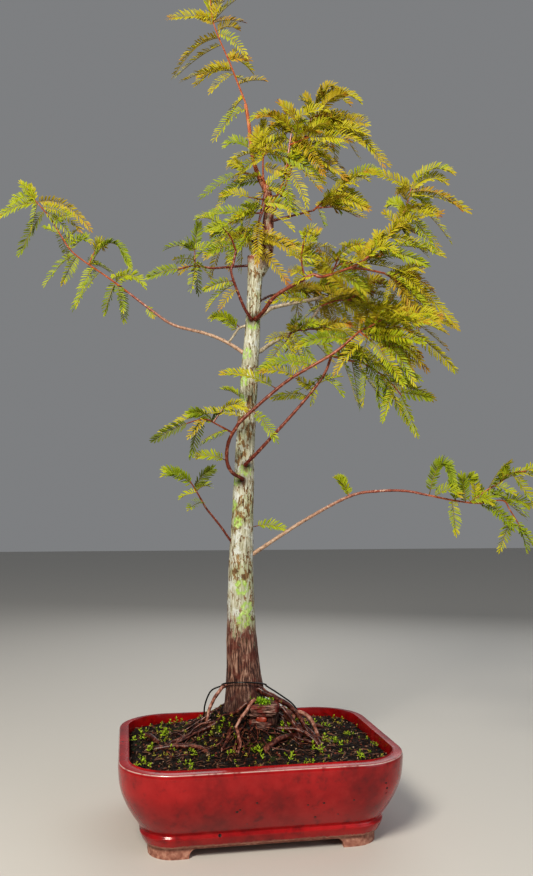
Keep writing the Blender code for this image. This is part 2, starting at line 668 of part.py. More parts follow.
def frond_rule(shoot, length, lean, rng):
    """Where fronds leave a shoot: to one side and the other, with each third one to the front or back."""
    total = lengths_along(shoot)[-1]
    count = max(1, round((total - FIRST_FROND) / FROND_SPACING))
    fronds = []
    for i in range(count + 1):
        at_tip = i == count
        along = total - SUNK if at_tip else FIRST_FROND + (total - FIRST_FROND) * i / count
        place, direction = at_length(shoot, along)
        spread_axis = direction.cross(FRONT)
        if spread_axis.length < ALONG_VIEW:
            spread_axis = direction.cross(UP)
        spread_axis.normalize()
        roll = rng.gauss(0, ROLL_SPREAD) + (0 if i % FRONT_EACH else FRONT_ROLL * rng.choice((-1, 1)))
        angle = TIP_LEAN if at_tip else lean + rng.uniform(-LEAN_SPREAD, LEAN_SPREAD)
        side = 1 if i % 2 else -1
        out = Matrix.Rotation(math.radians(roll), 3, direction) @ spread_axis * side
        aim = (direction * math.cos(math.radians(angle)) + out * math.sin(math.radians(angle))).normalized()
        outward = Vector((place.x - TRUNK[0][1], place.y - TRUNK_DEPTH, 0)).normalized()
        if aim.z > STEEPEST:
            aim = (aim + outward * (aim.z - STEEPEST) * LEAN_OVER).normalized()
        turn = rng.uniform(-FACING_TURN, FACING_TURN)
        facing = (FRONT + UP * rng.uniform(*FACING_RISE) + Vector((turn, 0, 0))).normalized()
        if abs(aim.dot(facing)) > ALONG_FACING:
            facing = UP.copy()
        size = length * rng.uniform(*SIZE_SPREAD) * (1 + OUTWARD_GAIN * aim.dot(outward))
        fronds.append((place, aim, facing, size, rng.uniform(*DROOP) + RISING_DROOP * max(aim.z, 0)))
    return fronds


def grow_mass(name, limbs, blockers):
    """One mass: a stem with its shoots, and fronds along them that touch no limb and no other mass."""
    parent_name, where, length, lean, shoots = MASSES[name]
    rng = random.Random(f"{SEED} {name}")
    stem, at_tip = limb_line(limbs[parent_name], where, shoots[0][1], 2)
    lines = [stem]
    for share, course in shoots[1:]:
        place, _ = at_length(stem, share * lengths_along(stem)[-1])
        lines.append(smooth(walk(place, course), 2))
    course = way_points(stem)
    mass = tube(name, course, taper(course, SHOOT_FOOT, SHOOT_TIP), 0)
    if not at_tip:
        seat(mass, parent_name, limbs)
    pieces = []
    for line in lines[1:]:
        course = way_points(line)
        twig = tube("twig", course, taper(course, SHOOT_FOOT * SIDE_SHOOT, SHOOT_TIP), 0)
        if any(bvh_of(twig).overlap(blocker) for blocker in blockers):
            bpy.data.objects.remove(twig)
            continue
        pieces.append(twig)
    for line in lines:
        for base, aim, facing, size, droop in frond_rule(line, length, lean, rng):
            placed = fit_frond(base, aim, facing, size, droop, blockers)
            if placed is not None:
                pieces.append(placed)
    return mass, pieces


def fit_frond(base, aim, facing, size, droop, blockers):
    """A frond's mesh object, made shorter where it would touch something, or None where it can't fit."""
    corners, faces = unit_blade(TEETH)
    for shrink in SHRINKS:
        reach = size * shrink
        fat = frond_points(base, aim, facing, reach, droop, corners, FIT_MARGIN)
        tree = BVHTree.FromPolygons(fat, faces)
        if any(tree.overlap(blocker) for blocker in blockers):
            continue
        placed = frond_points(base, aim, facing, reach, droop, corners)
        mesh = bpy.data.meshes.new("frond")
        mesh.from_pydata([place * MM for place in placed], [], faces)
        obj = bpy.data.objects.new("frond", mesh)
        bpy.context.scene.collection.objects.link(obj)
        shape = bmesh.new()
        shape.from_mesh(mesh)
        bmesh.ops.recalc_face_normals(shape, faces=shape.faces)
        shape.to_mesh(mesh)
        shape.free()
        return obj
    return None


def make_sprig(name, limbs):
    """A lone frond on a short stalk."""
    parent_name, where, heading, rise, length = SPRIGS[name]
    place, _ = limbs[parent_name].start(where)
    stalk_length = TRUNK_STALK if parent_name == "trunk" else BOUGH_STALK
    stalk = walk(place, ((stalk_length, heading, rise),))
    sprig = tube(name, stalk, (STALK_RADIUS, STALK_RADIUS), 0)
    seat(sprig, parent_name, limbs)
    aim = heading_vector(heading, rise)
    frond = fit_frond(stalk[-1] - aim * SUNK, aim, (FRONT + UP * SPRIG_FACING).normalized(), length,
                      SPRIG_DROOP, ())
    cut(sprig, [frond], "UNION", "MANIFOLD")
    keep_whole(sprig)
    return sprig


def make_root(name, foot):
    """A root that leaves the flare and lies half sunk in the soil, and the groove that it lies in."""
    leaves_at, thick, thin, course = ROOTS[name]
    spots = [foot.xy + heading_vector(leaves_at).xy * ROOT_START]
    for length, heading in course:
        spots.append(spots[-1] + heading_vector(heading).xy * length)
    points = smooth([Vector((*spot, 0)) for spot in spots], 2)
    radii = taper(points, thick, thin)
    for point, radius in zip(points, radii):
        point.z = soil_height(point, MOUND_AT) + radius * ROOT_PROUD
    points[-1].z -= radii[-1]
    return root_and_groove(name, points, radii)


def make_high_root(name, trunk):
    """A root that leaves the trunk above the soil and comes down into it, and its groove there."""
    height, thick, thin, course = HIGH_ROOTS[name]
    points, _ = limb_line(trunk, height, course, 2)
    return root_and_groove(name, points, taper(points, thick, thin))


def root_and_groove(name, points, radii, resolution=1):
    """A root, and the slightly fatter form that its groove in the soil is cut with."""
    root = tube(name, points, radii, resolution)
    groove = tube("groove", points, [radius + CLEAR for radius in radii], resolution)
    return root, groove


def make_knob(name, extra=0.0):
    """The stump of a root that was cut off, in front of the trunk's foot."""
    shape = bmesh.new()
    bmesh.ops.create_uvsphere(shape, u_segments=10, v_segments=7, radius=1)
    bmesh.ops.scale(shape, vec=[half + extra for half in KNOB_SIZE], verts=shape.verts)
    for vertex in shape.verts:
        vertex.co.y = max(vertex.co.y, -KNOB_CUT * (KNOB_SIZE[1] + extra))
    bmesh.ops.translate(shape, vec=KNOB_AT, verts=shape.verts)
    bmesh.ops.triangulate(shape, faces=shape.faces, quad_method="FIXED")
    return object_from(name, shape)


def make_tie(trunk):
    """The wire that holds the tree down: out of the soil, over the trunk's front and into the soil again."""
    middle = at_height(trunk_line(), TIE_HEIGHT)
    near = [vertex.co / MM for vertex in trunk.data.vertices if abs(vertex.co.z / MM - TIE_HEIGHT) < TIE_BAND]
    reach = max((place.xy - middle.xy).length for place in near if place.z > SOIL_FOOT + TIE_BAND)
    reach += CLEAR + TIE_RADIUS
    begin, end = TIE_ENDS
    bend = []
    for heading in range(begin, end + 1, TIE_STEP):
        rise = TIE_RISE * math.sin(math.pi * (heading - begin) / (end - begin))
        bend.append(middle + heading_vector(heading) * reach + UP * rise)
    left = walk(bend[0], TIE_LEFT)[:0:-1]
    right = walk(bend[-1], TIE_RIGHT)[1:]
    points = smooth([*left, *bend, *right], 2)
    return root_and_groove("tie_wire", points, [TIE_RADIUS] * len(points), 0)


def stand_on_origin(nodes):
    """Moves the nodes so that the middle of their box's underside is the origin."""
    corners = [vertex.co for node in nodes for vertex in node.data.vertices]
    low = Vector([min(corner[axis] for corner in corners) for axis in range(3)])
    high = Vector([max(corner[axis] for corner in corners) for axis in range(3)])
    middle = (low + high) / 2
    for node in nodes:
        node.data.transform(Matrix.Translation((-middle.x, -middle.y, -low.z)))


def main():
    for obj in list(bpy.data.objects):
        bpy.data.objects.remove(obj)
    part = bpy.data.collections.new("bald_cypress_bonsai")
    bpy.context.scene.collection.children.link(part)
    glaze = make_material("red glaze", "#8E1B1F", 0.18)
    earth = make_material("potting soil", "#1E1712", 0.95)
    bark = make_material("grey bark", "#B9B79A", 0.85)
    young_bark = make_material("young red bark", "#8A3B2A", 0.6)
    root_bark = make_material("root bark", "#5A3328", 0.8)
    leaf = make_material("needles", "#9BA01E", 0.6)
    wire = make_material("black tie wire", "#111111", 0.5)

    foot = Vector((TRUNK[0][1], TRUNK_DEPTH, SOIL_FOOT))
    turned = Matrix.Rotation(TREE_TURN, 4, "Z")
    pot = make_pot()
    soil = make_soil(turned.to_3x3() @ foot, turned.to_3x3() @ MOUND_AT)

    limbs = {"trunk": Limb(trunk_line())}
    trunk = trunk_solid("trunk")
    cut(trunk, [make_knob("knob")], "UNION")
    keep_whole(trunk)
    tree_nodes = [(trunk, bark)]
    blockers = [bvh_of(trunk)]
    for name, (parent_name, where, thick, thin, course) in BOUGHS.items():
        line, at_tip = limb_line(limbs[parent_name], where, course, 2)
        limb = Limb(line, taper(line, thick, thin))
        obj = tube(name, line, limb.radii, 1)
        limbs[name] = limb
        if not at_tip:
            seat(obj, parent_name, limbs)
        if name == "bough_left_link":
            seat(obj, "bough_long_left", limbs)
        tree_nodes.append((obj, young_bark))
        blockers.append(bvh_of(obj))
    for name in SPRIGS:
        sprig = make_sprig(name, limbs)
        tree_nodes.append((sprig, leaf))
        blockers.append(bvh_of(sprig))
    for name in MASSES:
        mass, pieces = grow_mass(name, limbs, blockers)
        cut(mass, pieces, "UNION", "MANIFOLD")
        keep_whole(mass)
        tree_nodes.append((mass, leaf))
        blockers.append(bvh_of(mass))
    roots = []
    grooves = [make_knob("knob_groove", CLEAR)]
    high_roots = [make_high_root(name, limbs["trunk"]) for name in HIGH_ROOTS]
    for root, groove in (*[make_root(name, foot) for name in ROOTS], *high_roots):
        cut(root, [trunk_solid("cutter", CLEAR)])
        cut(root, [make_knob("knob_cutter", CLEAR)])
        keep_whole(root)
        roots.append((root, root_bark))
        grooves.append(groove)
    tie, groove = make_tie(trunk)
    grooves.append(groove)
    for groove in grooves:
        groove.data.transform(turned)
        cut(soil, [groove])
    keep_whole(soil)
    for obj, material in (*tree_nodes, *roots, (tie, wire)):
        obj.data.transform(turned)
        finish(obj, part, material)
    finish(pot, part, glaze)
    finish(soil, part, earth)
    stand_on_origin(list(part.objects))


main()
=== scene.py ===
# %% [markdown]
# # A bald cypress bonsai in a red glazed pot
#
# The object is a young bald cypress that is trained as a bonsai: a straight trunk, thin boughs with feathery
# sprays of needles, a mound of soil full of roots, and a low pot with a deep red glaze. The solid model is
# loaded first and never moved. It says how large everything is and where it stands, and every piece made
# here is laid over it and takes its place.
#
# Small things are easier to model in millimetres than in metres. So each piece is made at one unit for each
# millimetre, in a frame whose middle is the pot's middle (x right, y back, z up), and is taken to its place
# in metres when it is finished. The tree's own frame is turned a little against the pot's, as on the real one.

# %% Imports, the solid model and the two frames
import functools
import math
import random

import bmesh
import bpy
import numpy as np
from mathutils import Euler, Matrix, Vector, noise
from mathutils.bvhtree import BVHTree


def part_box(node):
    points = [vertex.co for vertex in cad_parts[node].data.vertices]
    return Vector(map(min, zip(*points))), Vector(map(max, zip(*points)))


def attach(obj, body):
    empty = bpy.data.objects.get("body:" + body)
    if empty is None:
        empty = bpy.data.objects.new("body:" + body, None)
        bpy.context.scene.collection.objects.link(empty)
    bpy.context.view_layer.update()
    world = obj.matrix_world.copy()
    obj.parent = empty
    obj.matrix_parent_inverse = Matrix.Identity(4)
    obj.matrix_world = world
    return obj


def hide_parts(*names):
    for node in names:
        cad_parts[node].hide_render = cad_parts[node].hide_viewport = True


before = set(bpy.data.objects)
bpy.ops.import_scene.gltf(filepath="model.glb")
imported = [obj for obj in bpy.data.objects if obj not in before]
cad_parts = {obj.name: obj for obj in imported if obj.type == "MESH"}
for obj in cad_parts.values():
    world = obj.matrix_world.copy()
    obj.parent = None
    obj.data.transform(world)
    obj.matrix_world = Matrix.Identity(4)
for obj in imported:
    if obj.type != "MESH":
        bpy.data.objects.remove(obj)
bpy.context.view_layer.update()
scene = bpy.context.scene

MM = 0.001
UP = Vector((0, 0, 1))
FRONT = Vector((0, -1, 0))
TREE_TURN = math.radians(-10.9)
pot_low, pot_high = (Vector(corner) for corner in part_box("pot"))
POT_MIDDLE = Vector(((pot_low.x + pot_high.x) / 2, (pot_low.y + pot_high.y) / 2, 0))
POT_TO_ROW = Matrix.Translation(POT_MIDDLE) @ Matrix.Scale(MM, 4)
TO_ROW = POT_TO_ROW @ Matrix.Rotation(TREE_TURN, 4, "Z")
FROM_ROW = TO_ROW.inverted()
print("solid model:", len(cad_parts), "nodes; the pot's middle is at", POT_MIDDLE)

# %% [markdown]
# ## Camera, floor and light
#
# The photograph was taken from the front, a little above the pot's rim, with the camera tilted slightly up
# to take in the crown. A camera with the same place, tilt and focal length shows the model as the photo
# shows the tree, so the two can be compared spot by spot. The floor is a plain pale sheet. The light is that
# of a small studio: one strong soft lamp from the upper left gives the bark and the needles their contrast,
# two weak ones keep the right side and the back readable, and a pale sky fills the rest.

# %% Camera
CAMERA_AT = Vector((27.3, -914.2, 336.7))
CAMERA_RISE = math.radians(5.75)
CAMERA_PAN = math.radians(0.79)
FOCAL_PX = 782
FRAME_HEIGHT_PX = 876
SENSOR_MM = 36

bpy.ops.object.camera_add(
    location=TO_ROW @ CAMERA_AT, rotation=(math.pi / 2 + CAMERA_RISE, 0, TREE_TURN + CAMERA_PAN))
camera = bpy.context.object
camera.data.sensor_fit = "VERTICAL"
camera.data.sensor_height = SENSOR_MM
camera.data.lens = FOCAL_PX / FRAME_HEIGHT_PX * SENSOR_MM
scene.camera = camera
print("camera: lens", round(camera.data.lens, 2), "mm at", camera.location)

# %% Colours
# A web colour is written for the eye. Blender's shaders count light, so each value is turned to linear.


def linear(colour):
    channels = [int(colour[i:i + 2], 16) / 255 for i in (1, 3, 5)]
    return (*[c / 12.92 if c <= 0.04045 else ((c + 0.055) / 1.055) ** 2.4 for c in channels], 1)


def add_node(tree, kind, inputs=None, out=0, stops=(), **settings):
    """Adds a node with its settings, sets or links its inputs, and gives back one of its outputs."""
    node = tree.nodes.new("ShaderNode" + kind)
    for name, value in settings.items():
        setattr(node, name, value)
    for name, value in (inputs or {}).items():
        socket = node.inputs[name]
        if isinstance(value, bpy.types.NodeSocket):
            tree.links.new(value, socket)
        else:
            socket.default_value = value
    while len(stops) > 2 and len(node.color_ramp.elements) < len(stops):
        node.color_ramp.elements.new(1)
    for i, (position, colour) in enumerate(stops):
        node.color_ramp.elements[i].position = position
        node.color_ramp.elements[i].color = linear(colour)
    return node.outputs[out]


def start_material(name, values):
    """A material with plain values on its shader; gives back the material, the shader and its add_node."""
    material = bpy.data.materials.new(name)
    material.use_nodes = True
    shader = material.node_tree.nodes["Principled BSDF"]
    for socket, value in values.items():
        shader.inputs[socket].default_value = value
    return material, shader, functools.partial(add_node, material.node_tree)


def feed(shader, **sources):
    """Links outputs to the shader's sockets."""
    for socket, source in sources.items():
        shader.id_data.links.new(source, shader.inputs[socket.replace("_", " ")])


print("a middle grey of the eye in linear light:", round(linear("#808080")[0], 3))

# %% Floor, sky and lamps
bpy.ops.mesh.primitive_plane_add(size=14, location=(0, 0, 0))
floor = bpy.context.object
floor.name = "floor"
paper, _, _ = start_material("pale studio paper", {"Base Color": linear("#C6C4BF"), "Roughness": 0.9})
floor.data.materials.append(paper)
sky = bpy.data.worlds.new("sky")
sky.use_nodes = True
sky.node_tree.nodes["Background"].inputs["Color"].default_value = linear("#EDEFF2")
sky.node_tree.nodes["Background"].inputs["Strength"].default_value = 0.24
scene.world = sky
scene.view_settings.view_transform = "Standard"
scene.view_settings.look = "Medium High Contrast"


def lamp(name, place, target, size, watts, colour):
    """A square lamp at a place in the tree's frame, turned to a target there."""
    start = TO_ROW @ Vector(place)
    aim = (TO_ROW @ Vector(target) - start).to_track_quat("-Z", "Y").to_euler()
    bpy.ops.object.light_add(type="AREA", location=start, rotation=aim)
    made = bpy.context.object
    made.name = name
    made.data.size = size
    made.data.energy = watts
    made.data.color = linear(colour)[:3]


lamp("key", (-480, -1380, 1350), (0, 0, 420), 0.5, 34, "#FFF6E8")
lamp("fill", (1300, -900, 700), (0, 0, 400), 1.2, 5, "#EEF4FF")
lamp("back", (300, 1200, 1300), (0, 0, 600), 1.6, 8, "#FFFFFF")

# %% [markdown]
# ## Tools of the bench
#
# In the viewport a piece is picked with a click and its faces with a drag of the mouse. A script has no
# mouse, so these few helpers do the picking: choose() picks whole pieces, open_mesh() goes into edit mode
# with nothing picked, pick() picks corners, edges or faces by a test of their place or direction, and
# closed() merges what lies on the same spot and turns all faces outwards. put() ends each piece: it takes
# the mesh to its place, gives it its finish and smooths it, and lets it stand for nodes of the solid model.

# %% Picking and finishing


def choose(*pieces):
    bpy.ops.object.select_all(action="DESELECT")
    for piece in pieces:
        piece.select_set(True)
    bpy.context.view_layer.objects.active = pieces[0]


def open_mesh(piece):
    choose(piece)
    bpy.ops.object.mode_set(mode="EDIT")
    bpy.ops.mesh.select_all(action="DESELECT")


def pick(piece, kind, test):
    """Picks the corners (VERT), edges (EDGE) or faces (FACE) that pass the test."""
    bpy.ops.mesh.select_mode(type=kind)
    bpy.ops.mesh.select_all(action="DESELECT")
    shape = bmesh.from_edit_mesh(piece.data)
    for item in {"VERT": shape.verts, "EDGE": shape.edges, "FACE": shape.faces}[kind]:
        if test(item):
            item.select_set(True)
    shape.select_flush_mode()
    bmesh.update_edit_mesh(piece.data)


def closed(piece, apart=0.001):
    """Merges doubles, turns the faces outwards and leaves edit mode."""
    if bpy.context.mode != "EDIT_MESH":
        open_mesh(piece)
    bpy.ops.mesh.select_mode(type="VERT")
    bpy.ops.mesh.select_all(action="SELECT")
    bpy.ops.mesh.remove_doubles(threshold=apart)
    bpy.ops.mesh.normals_make_consistent(inside=False)
    bpy.ops.object.mode_set(mode="OBJECT")
    return piece


def add_modifier(piece, kind, **settings):
    """Adds a modifier and applies it."""
    modifier = piece.modifiers.new(kind.lower(), kind)
    for name, value in settings.items():
        setattr(modifier, name, value)
    choose(piece)
    bpy.ops.object.modifier_apply(modifier=modifier.name)


def carve(piece, other, operation):
    """Cuts or joins one piece with another, which is then gone."""
    add_modifier(piece, "BOOLEAN", operation=operation, object=other, solver="EXACT")
    bpy.data.objects.remove(other)


def join(name, pieces):
    choose(*pieces)
    if len(pieces) > 1:
        bpy.ops.object.join()
    joined = bpy.context.object
    joined.name = name
    return joined


def triangles(piece):
    return sum(len(face.vertices) - 2 for face in piece.data.polygons)


def put(piece, material, replaces=(), matrix=TO_ROW, sharp=40):
    """Takes a finished piece to its place in metres, with its finish, on the one body of the part."""
    choose(piece)
    bpy.ops.object.transform_apply(location=True, rotation=True, scale=True)
    piece.data.transform(matrix)
    piece.data.materials.clear()
    piece.data.materials.append(material)
    choose(piece)
    bpy.ops.object.shade_smooth_by_angle(angle=math.radians(sharp))
    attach(piece, "root")
    if replaces:
        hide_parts(*replaces)
    print(piece.name, "has", triangles(piece), "triangles")
    return piece


def nodes_named(start):
    return sorted(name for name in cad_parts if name.startswith(start))


print("tools ready; the solid has", len(nodes_named("bough")), "boughs and", len(nodes_named("root")), "roots")

# %% [markdown]
# ## The pot's body
#
# The real pot was pressed from stoneware clay in a mould: a rectangle with round corners whose wall swells
# from a narrow foot band to a flat, thick rim. It could be cut out of a block, or swept along a rail. Here
# it is pulled out of one face, as a potter pulls up a wall: a plane with its corners beveled gets a short
# wall, then its lower face is inset and pushed down step by step to the foot, and its upper face over the
# rim and down the inside. Each inset keeps the same distance on all sides, so the corners stay round.

# %% The profile of the wall
POT_LENGTH = 300
POT_DEPTH = 245
POT_CORNER = 58
FINE_CORNER = 16
# height and how far the wall stands in from the rim's edge, from below the rim down the outside
POT_BELOW = (
    (84, 0), (78, 0.4), (64, 2.4), (50, 8), (38, 15), (29, 21.5), (25, 24), (22.5, 22.5), (20, 23),
    (15, 25.5), (12, 27.5),
)
# the same over the rim and down the inside to the floor
POT_ABOVE = ((86, 0), (89.3, 0.8), (90, 3), (90, 9.5), (88.6, 11.5), (60, 15), (36, 24), (26, 34), (22, 44))


def smooth(points, steps=3):
    """A Catmull-Rom curve through the points, with the given steps between two of them."""
    ends = [points[0] * 2 - points[1], *points, points[-1] * 2 - points[-2]]
    curve = []
    for a, b, c, d in zip(ends, ends[1:], ends[2:], ends[3:]):
        for step in range(steps):
            t = step / steps
            curve.append((b * 2 + (c - a) * t + (a * 2 - b * 5 + c * 4 - d) * t * t
                          + (b * 3 - a - c * 3 + d) * t ** 3) / 2)
    return [*curve, points[-1].copy()]


def finer_profile(profile, steps=3):
    return [(point.x, point.y) for point in smooth([Vector((*row, 0)) for row in profile], steps)]


def pull(profile, direction):
    """Pulls the picked face along a profile: an inset where it draws in, else an extrude and a resize."""
    for (before, inset_before), (height, inset) in zip(profile, profile[1:]):
        if inset - inset_before > ROUNDING:
            bpy.ops.mesh.inset(thickness=inset - inset_before, depth=(height - before) * direction)
            continue
        bpy.ops.mesh.extrude_region_move(TRANSFORM_OT_translate={"value": (0, 0, height - before)})
        wider = [(side / 2 - inset) / (side / 2 - inset_before) for side in (POT_LENGTH, POT_DEPTH)]
        bpy.ops.transform.resize(value=(*wider, 1), center_override=(0, 0, height))


ROUNDING = 0.001
below, above = finer_profile(POT_BELOW), finer_profile(POT_ABOVE)
print("the wall's profile has", len(below) + len(above), "steps")

# %% The pot's body
bpy.ops.mesh.primitive_plane_add(size=1, location=(0, 0, POT_BELOW[0][0]))
pot = bpy.context.object
pot.name = "pot_glazed"
open_mesh(pot)
bpy.ops.mesh.select_all(action="SELECT")
bpy.ops.transform.resize(value=(POT_LENGTH, POT_DEPTH, 1))
bpy.ops.mesh.bevel(offset=POT_CORNER, segments=FINE_CORNER, profile=0.5, affect="VERTICES")
bpy.ops.mesh.select_all(action="SELECT")
bpy.ops.mesh.extrude_region_move(TRANSFORM_OT_translate={"value": (0, 0, POT_ABOVE[0][0] - POT_BELOW[0][0])})
pull(above, 1)
bpy.ops.mesh.select_all(action="SELECT")
bpy.ops.mesh.normals_make_consistent(inside=False)
pick(pot, "FACE", lambda face: len(face.verts) > 4 and face.normal.z < -0.5)
pull(below, -1)
closed(pot)
print("the pot's wall:", [round(side, 1) for side in pot.dimensions], "mm")

# %% The foot: a block with an arch cut under each side
FOOT_INSET = 31
FOOT_HEIGHT = 14
ARCH_HEIGHT = 9
ARCH_LENGTH = 158
ARCH_DEPTH = 104
ARCH_ROUNDING = 0.8


def block(name, length, across, low, high):
    """A block on the pot's middle, in edit mode."""
    bpy.ops.mesh.primitive_cube_add(size=1, location=(0, 0, (low + high) / 2))
    made = bpy.context.object
    made.name = name
    open_mesh(made)
    bpy.ops.mesh.select_all(action="SELECT")
    bpy.ops.transform.resize(value=(length, across, high - low))
    return made


def arch(name, length, across, rounded_along):
    """A bar whose two upper long edges are rounded, to cut an arch from side to side."""
    bar = block(name, length, across, -ARCH_HEIGHT, ARCH_HEIGHT)
    pick(bar, "EDGE", lambda edge: min(v.co.z for v in edge.verts) > 0
         and abs(edge.verts[0].co[rounded_along] - edge.verts[1].co[rounded_along]) > ROUNDING)
    bpy.ops.mesh.bevel(offset=ARCH_HEIGHT * ARCH_ROUNDING, segments=8, profile=0.5)
    return closed(bar)


foot = block("foot", POT_LENGTH - 2 * FOOT_INSET, POT_DEPTH - 2 * FOOT_INSET, 0, FOOT_HEIGHT)
pick(foot, "EDGE", lambda edge: abs(edge.verts[0].co.z - edge.verts[1].co.z) > ROUNDING)
bpy.ops.mesh.bevel(offset=POT_CORNER - FOOT_INSET, segments=FINE_CORNER, profile=0.5)
closed(foot)
carve(foot, arch("front arch", ARCH_LENGTH, POT_DEPTH, 1), "DIFFERENCE")
carve(foot, arch("side arch", POT_LENGTH, ARCH_DEPTH, 0), "DIFFERENCE")
carve(pot, foot, "UNION")
closed(pot)
print("the pot with its feet has", triangles(pot), "triangles")

# %% [markdown]
# ## The pot's glaze
#
# Stoneware dipped in a red glaze. The glaze is thick, so it gives soft, broad highlights; it pooled darker in
# the hollows, broke into pinholes, and is worn to the pale clay along the sharp outer edge of the rim. Its
# feet were wiped before firing and show bare, rough, brownish clay. All of this could be painted as a picture
# on a UV map. Noise on the piece's own coordinates is used instead, because it has no seams and any size.

# %% Glaze
GLAZE_CLOUD_MM = 50
GLAZE_MOTTLE_MM = 12
PINHOLE_GRID_MM = 24
CLAY_GRAIN_MM = 4


def per_metre(size_mm):
    """The scale of a pattern whose features are this large."""
    return 1 / (size_mm * MM)


glaze, shader, add = start_material("red glazed stoneware", {
    "Roughness": 0.22, "IOR": 1.5, "Coat Weight": 0.08, "Coat Roughness": 0.08})
place = add("TexCoord", out="Object")
height = add("SeparateXYZ", {"Vector": place}, "Z")
cloud = add("TexNoise", {"Vector": place, "Scale": per_metre(GLAZE_CLOUD_MM), "Detail": 4})
mottle = add("TexNoise", {"Vector": place, "Scale": per_metre(GLAZE_MOTTLE_MM), "Detail": 5, "Roughness": 0.65})
red = add("ValToRGB", {"Fac": cloud}, stops=((0.34, "#760509"), (0.5, "#91090E"), (0.66, "#A21316")))
lighter = add("MapRange", {"Value": mottle, "From Min": 0.5, "From Max": 0.72, "To Max": 0.3})
red = add("Mix", {0: lighter, 6: red, 7: linear("#B22A28")}, 2, data_type="RGBA")
darker = add("MapRange", {"Value": mottle, "From Min": 0.46, "From Max": 0.3, "To Max": 0.6})
red = add("Mix", {0: darker, 6: red, 7: linear("#4C070C")}, 2, data_type="RGBA")
# pinholes where a cell's middle is near, but only in the cells that chance picks
cells = {"Vector": place, "Scale": per_metre(PINHOLE_GRID_MM)}
near = add("MapRange", {
    "Value": add("TexVoronoi", cells, "Distance"), "From Min": 0.085, "From Max": 0.06})
picked = add("MapRange", {
    "Value": add("SeparateXYZ", {"Vector": add("TexVoronoi", cells, "Color")}, "X"),
    "From Min": 0.5, "From Max": 0.52})
pinhole = add("Math", {0: near, 1: picked}, operation="MULTIPLY")
red = add("Mix", {0: pinhole, 6: red, 7: linear("#1E0B09")}, 2, data_type="RGBA")
# the worn edge and the wiped feet
worn = add("Math", {
    0: add("Attribute", out="Fac", attribute_name="worn"),
    1: add("MapRange", {"Value": mottle, "From Min": 0.3, "From Max": 0.46})}, operation="MULTIPLY")
red = add("Mix", {0: worn, 6: red, 7: linear("#C2AFA9")}, 2, data_type="RGBA")
grain = add("TexNoise", {"Vector": place, "Scale": per_metre(CLAY_GRAIN_MM), "Detail": 5})
clay = add("ValToRGB", {"Fac": grain}, stops=((0.3, "#7A4A3D"), (0.55, "#A0705F"), (0.75, "#BD9582")))
edge = add("Math", {0: grain, 1: 0.004, 2: height}, operation="MULTIPLY_ADD")
bare = add("MapRange", {"Value": edge, "From Min": 0.0165, "From Max": 0.0155})
colour = add("Mix", {0: bare, 6: red, 7: clay}, 2, data_type="RGBA")
rough = add("MapRange", {"Value": bare, "To Min": 0.2, "To Max": 0.85})
relief = add("Math", {0: pinhole, 1: -0.6, 2: cloud}, operation="MULTIPLY_ADD")
bump = add("Bump", {"Height": relief, "Strength": 0.5, "Distance": 0.0012}, "Normal")
feed(shader, Base_Color=colour, Roughness=rough, Normal=bump)
print("glaze:", len(glaze.node_tree.nodes), "nodes")

# %% Wear along the rim, written on the corners near the sharp outer edge
WORN_BAND = 1.2
WORN_HEIGHT = 88.8


def stands_in(place):
    """How far a place lies inside the rim's outer edge, seen from above."""
    past = Vector((
        max(abs(place.x) - (POT_LENGTH / 2 - POT_CORNER), 0), max(abs(place.y) - (POT_DEPTH / 2 - POT_CORNER), 0)))
    if past.x and past.y:
        return POT_CORNER - past.length
    return min(POT_LENGTH / 2 - abs(place.x), POT_DEPTH / 2 - abs(place.y))


wear = pot.data.attributes.new("worn", "FLOAT", "POINT")
for corner, share in zip(pot.data.vertices, wear.data):
    top = pot.matrix_world @ corner.co
    share.value = top.z > WORN_HEIGHT and stands_in(top) < WORN_BAND
print("corners on the worn edge:", sum(share.value > 0 for share in wear.data))
put(pot, glaze, ["pot"], POT_TO_ROW, 35)

# %% [markdown]
# ## How wood grows here
#
# Each limb of the tree is a course of legs, each with a length, a heading (the angle round the trunk, from
# the right by the back to the left) and a rise. A curve through the ends of the legs makes it a living line.
# These are the solid model's own sizes, so that what is modelled here lies over it.

# %% The plan of the tree
CLEAR = 0.35
SOIL_EDGE = 81
SOIL_FOOT = 112
TRUNK_DEPTH = 30
SEED = 11
# height, drift to the right and radius up the old trunk to its healed cut
TRUNK = (
    (SOIL_FOOT + 0.4, -12, 22.5), (127, -12, 22), (141, -12, 21.2), (174, -14, 19), (225, -16, 16.3),
    (285, -16, 14.5), (350, -14, 12.6), (433, -11, 11.5), (503, -7, 10.6), (547, -4, 9.7),
    (605, -1, 8.8), (634, 0, 9.3), (659, -2, 7.6),
)
# the same up the young trunk that took over beside the cut, and the leader above it
YOUNG_TRUNK = (
    (630, 2, 6), (646, 9, 8.6), (668, 14.5, 8.4), (690, 15.5, 7.5), (710, 17, 6.7), (727, 17, 6.3),
    (745, 14, 5.2), (759, 6, 3.6), (772, 1, 2.8), (792, -4, 2.5), (830, -8, 2.4), (858, -12.4, 2.3),
)
FLARE_HEIGHT = 46
FLARE = 0.26
FLARE_RIDGES = 5
RIDGE_SHARE = 0.5  # how much of the flare stands in its ridges, one of which points to the right

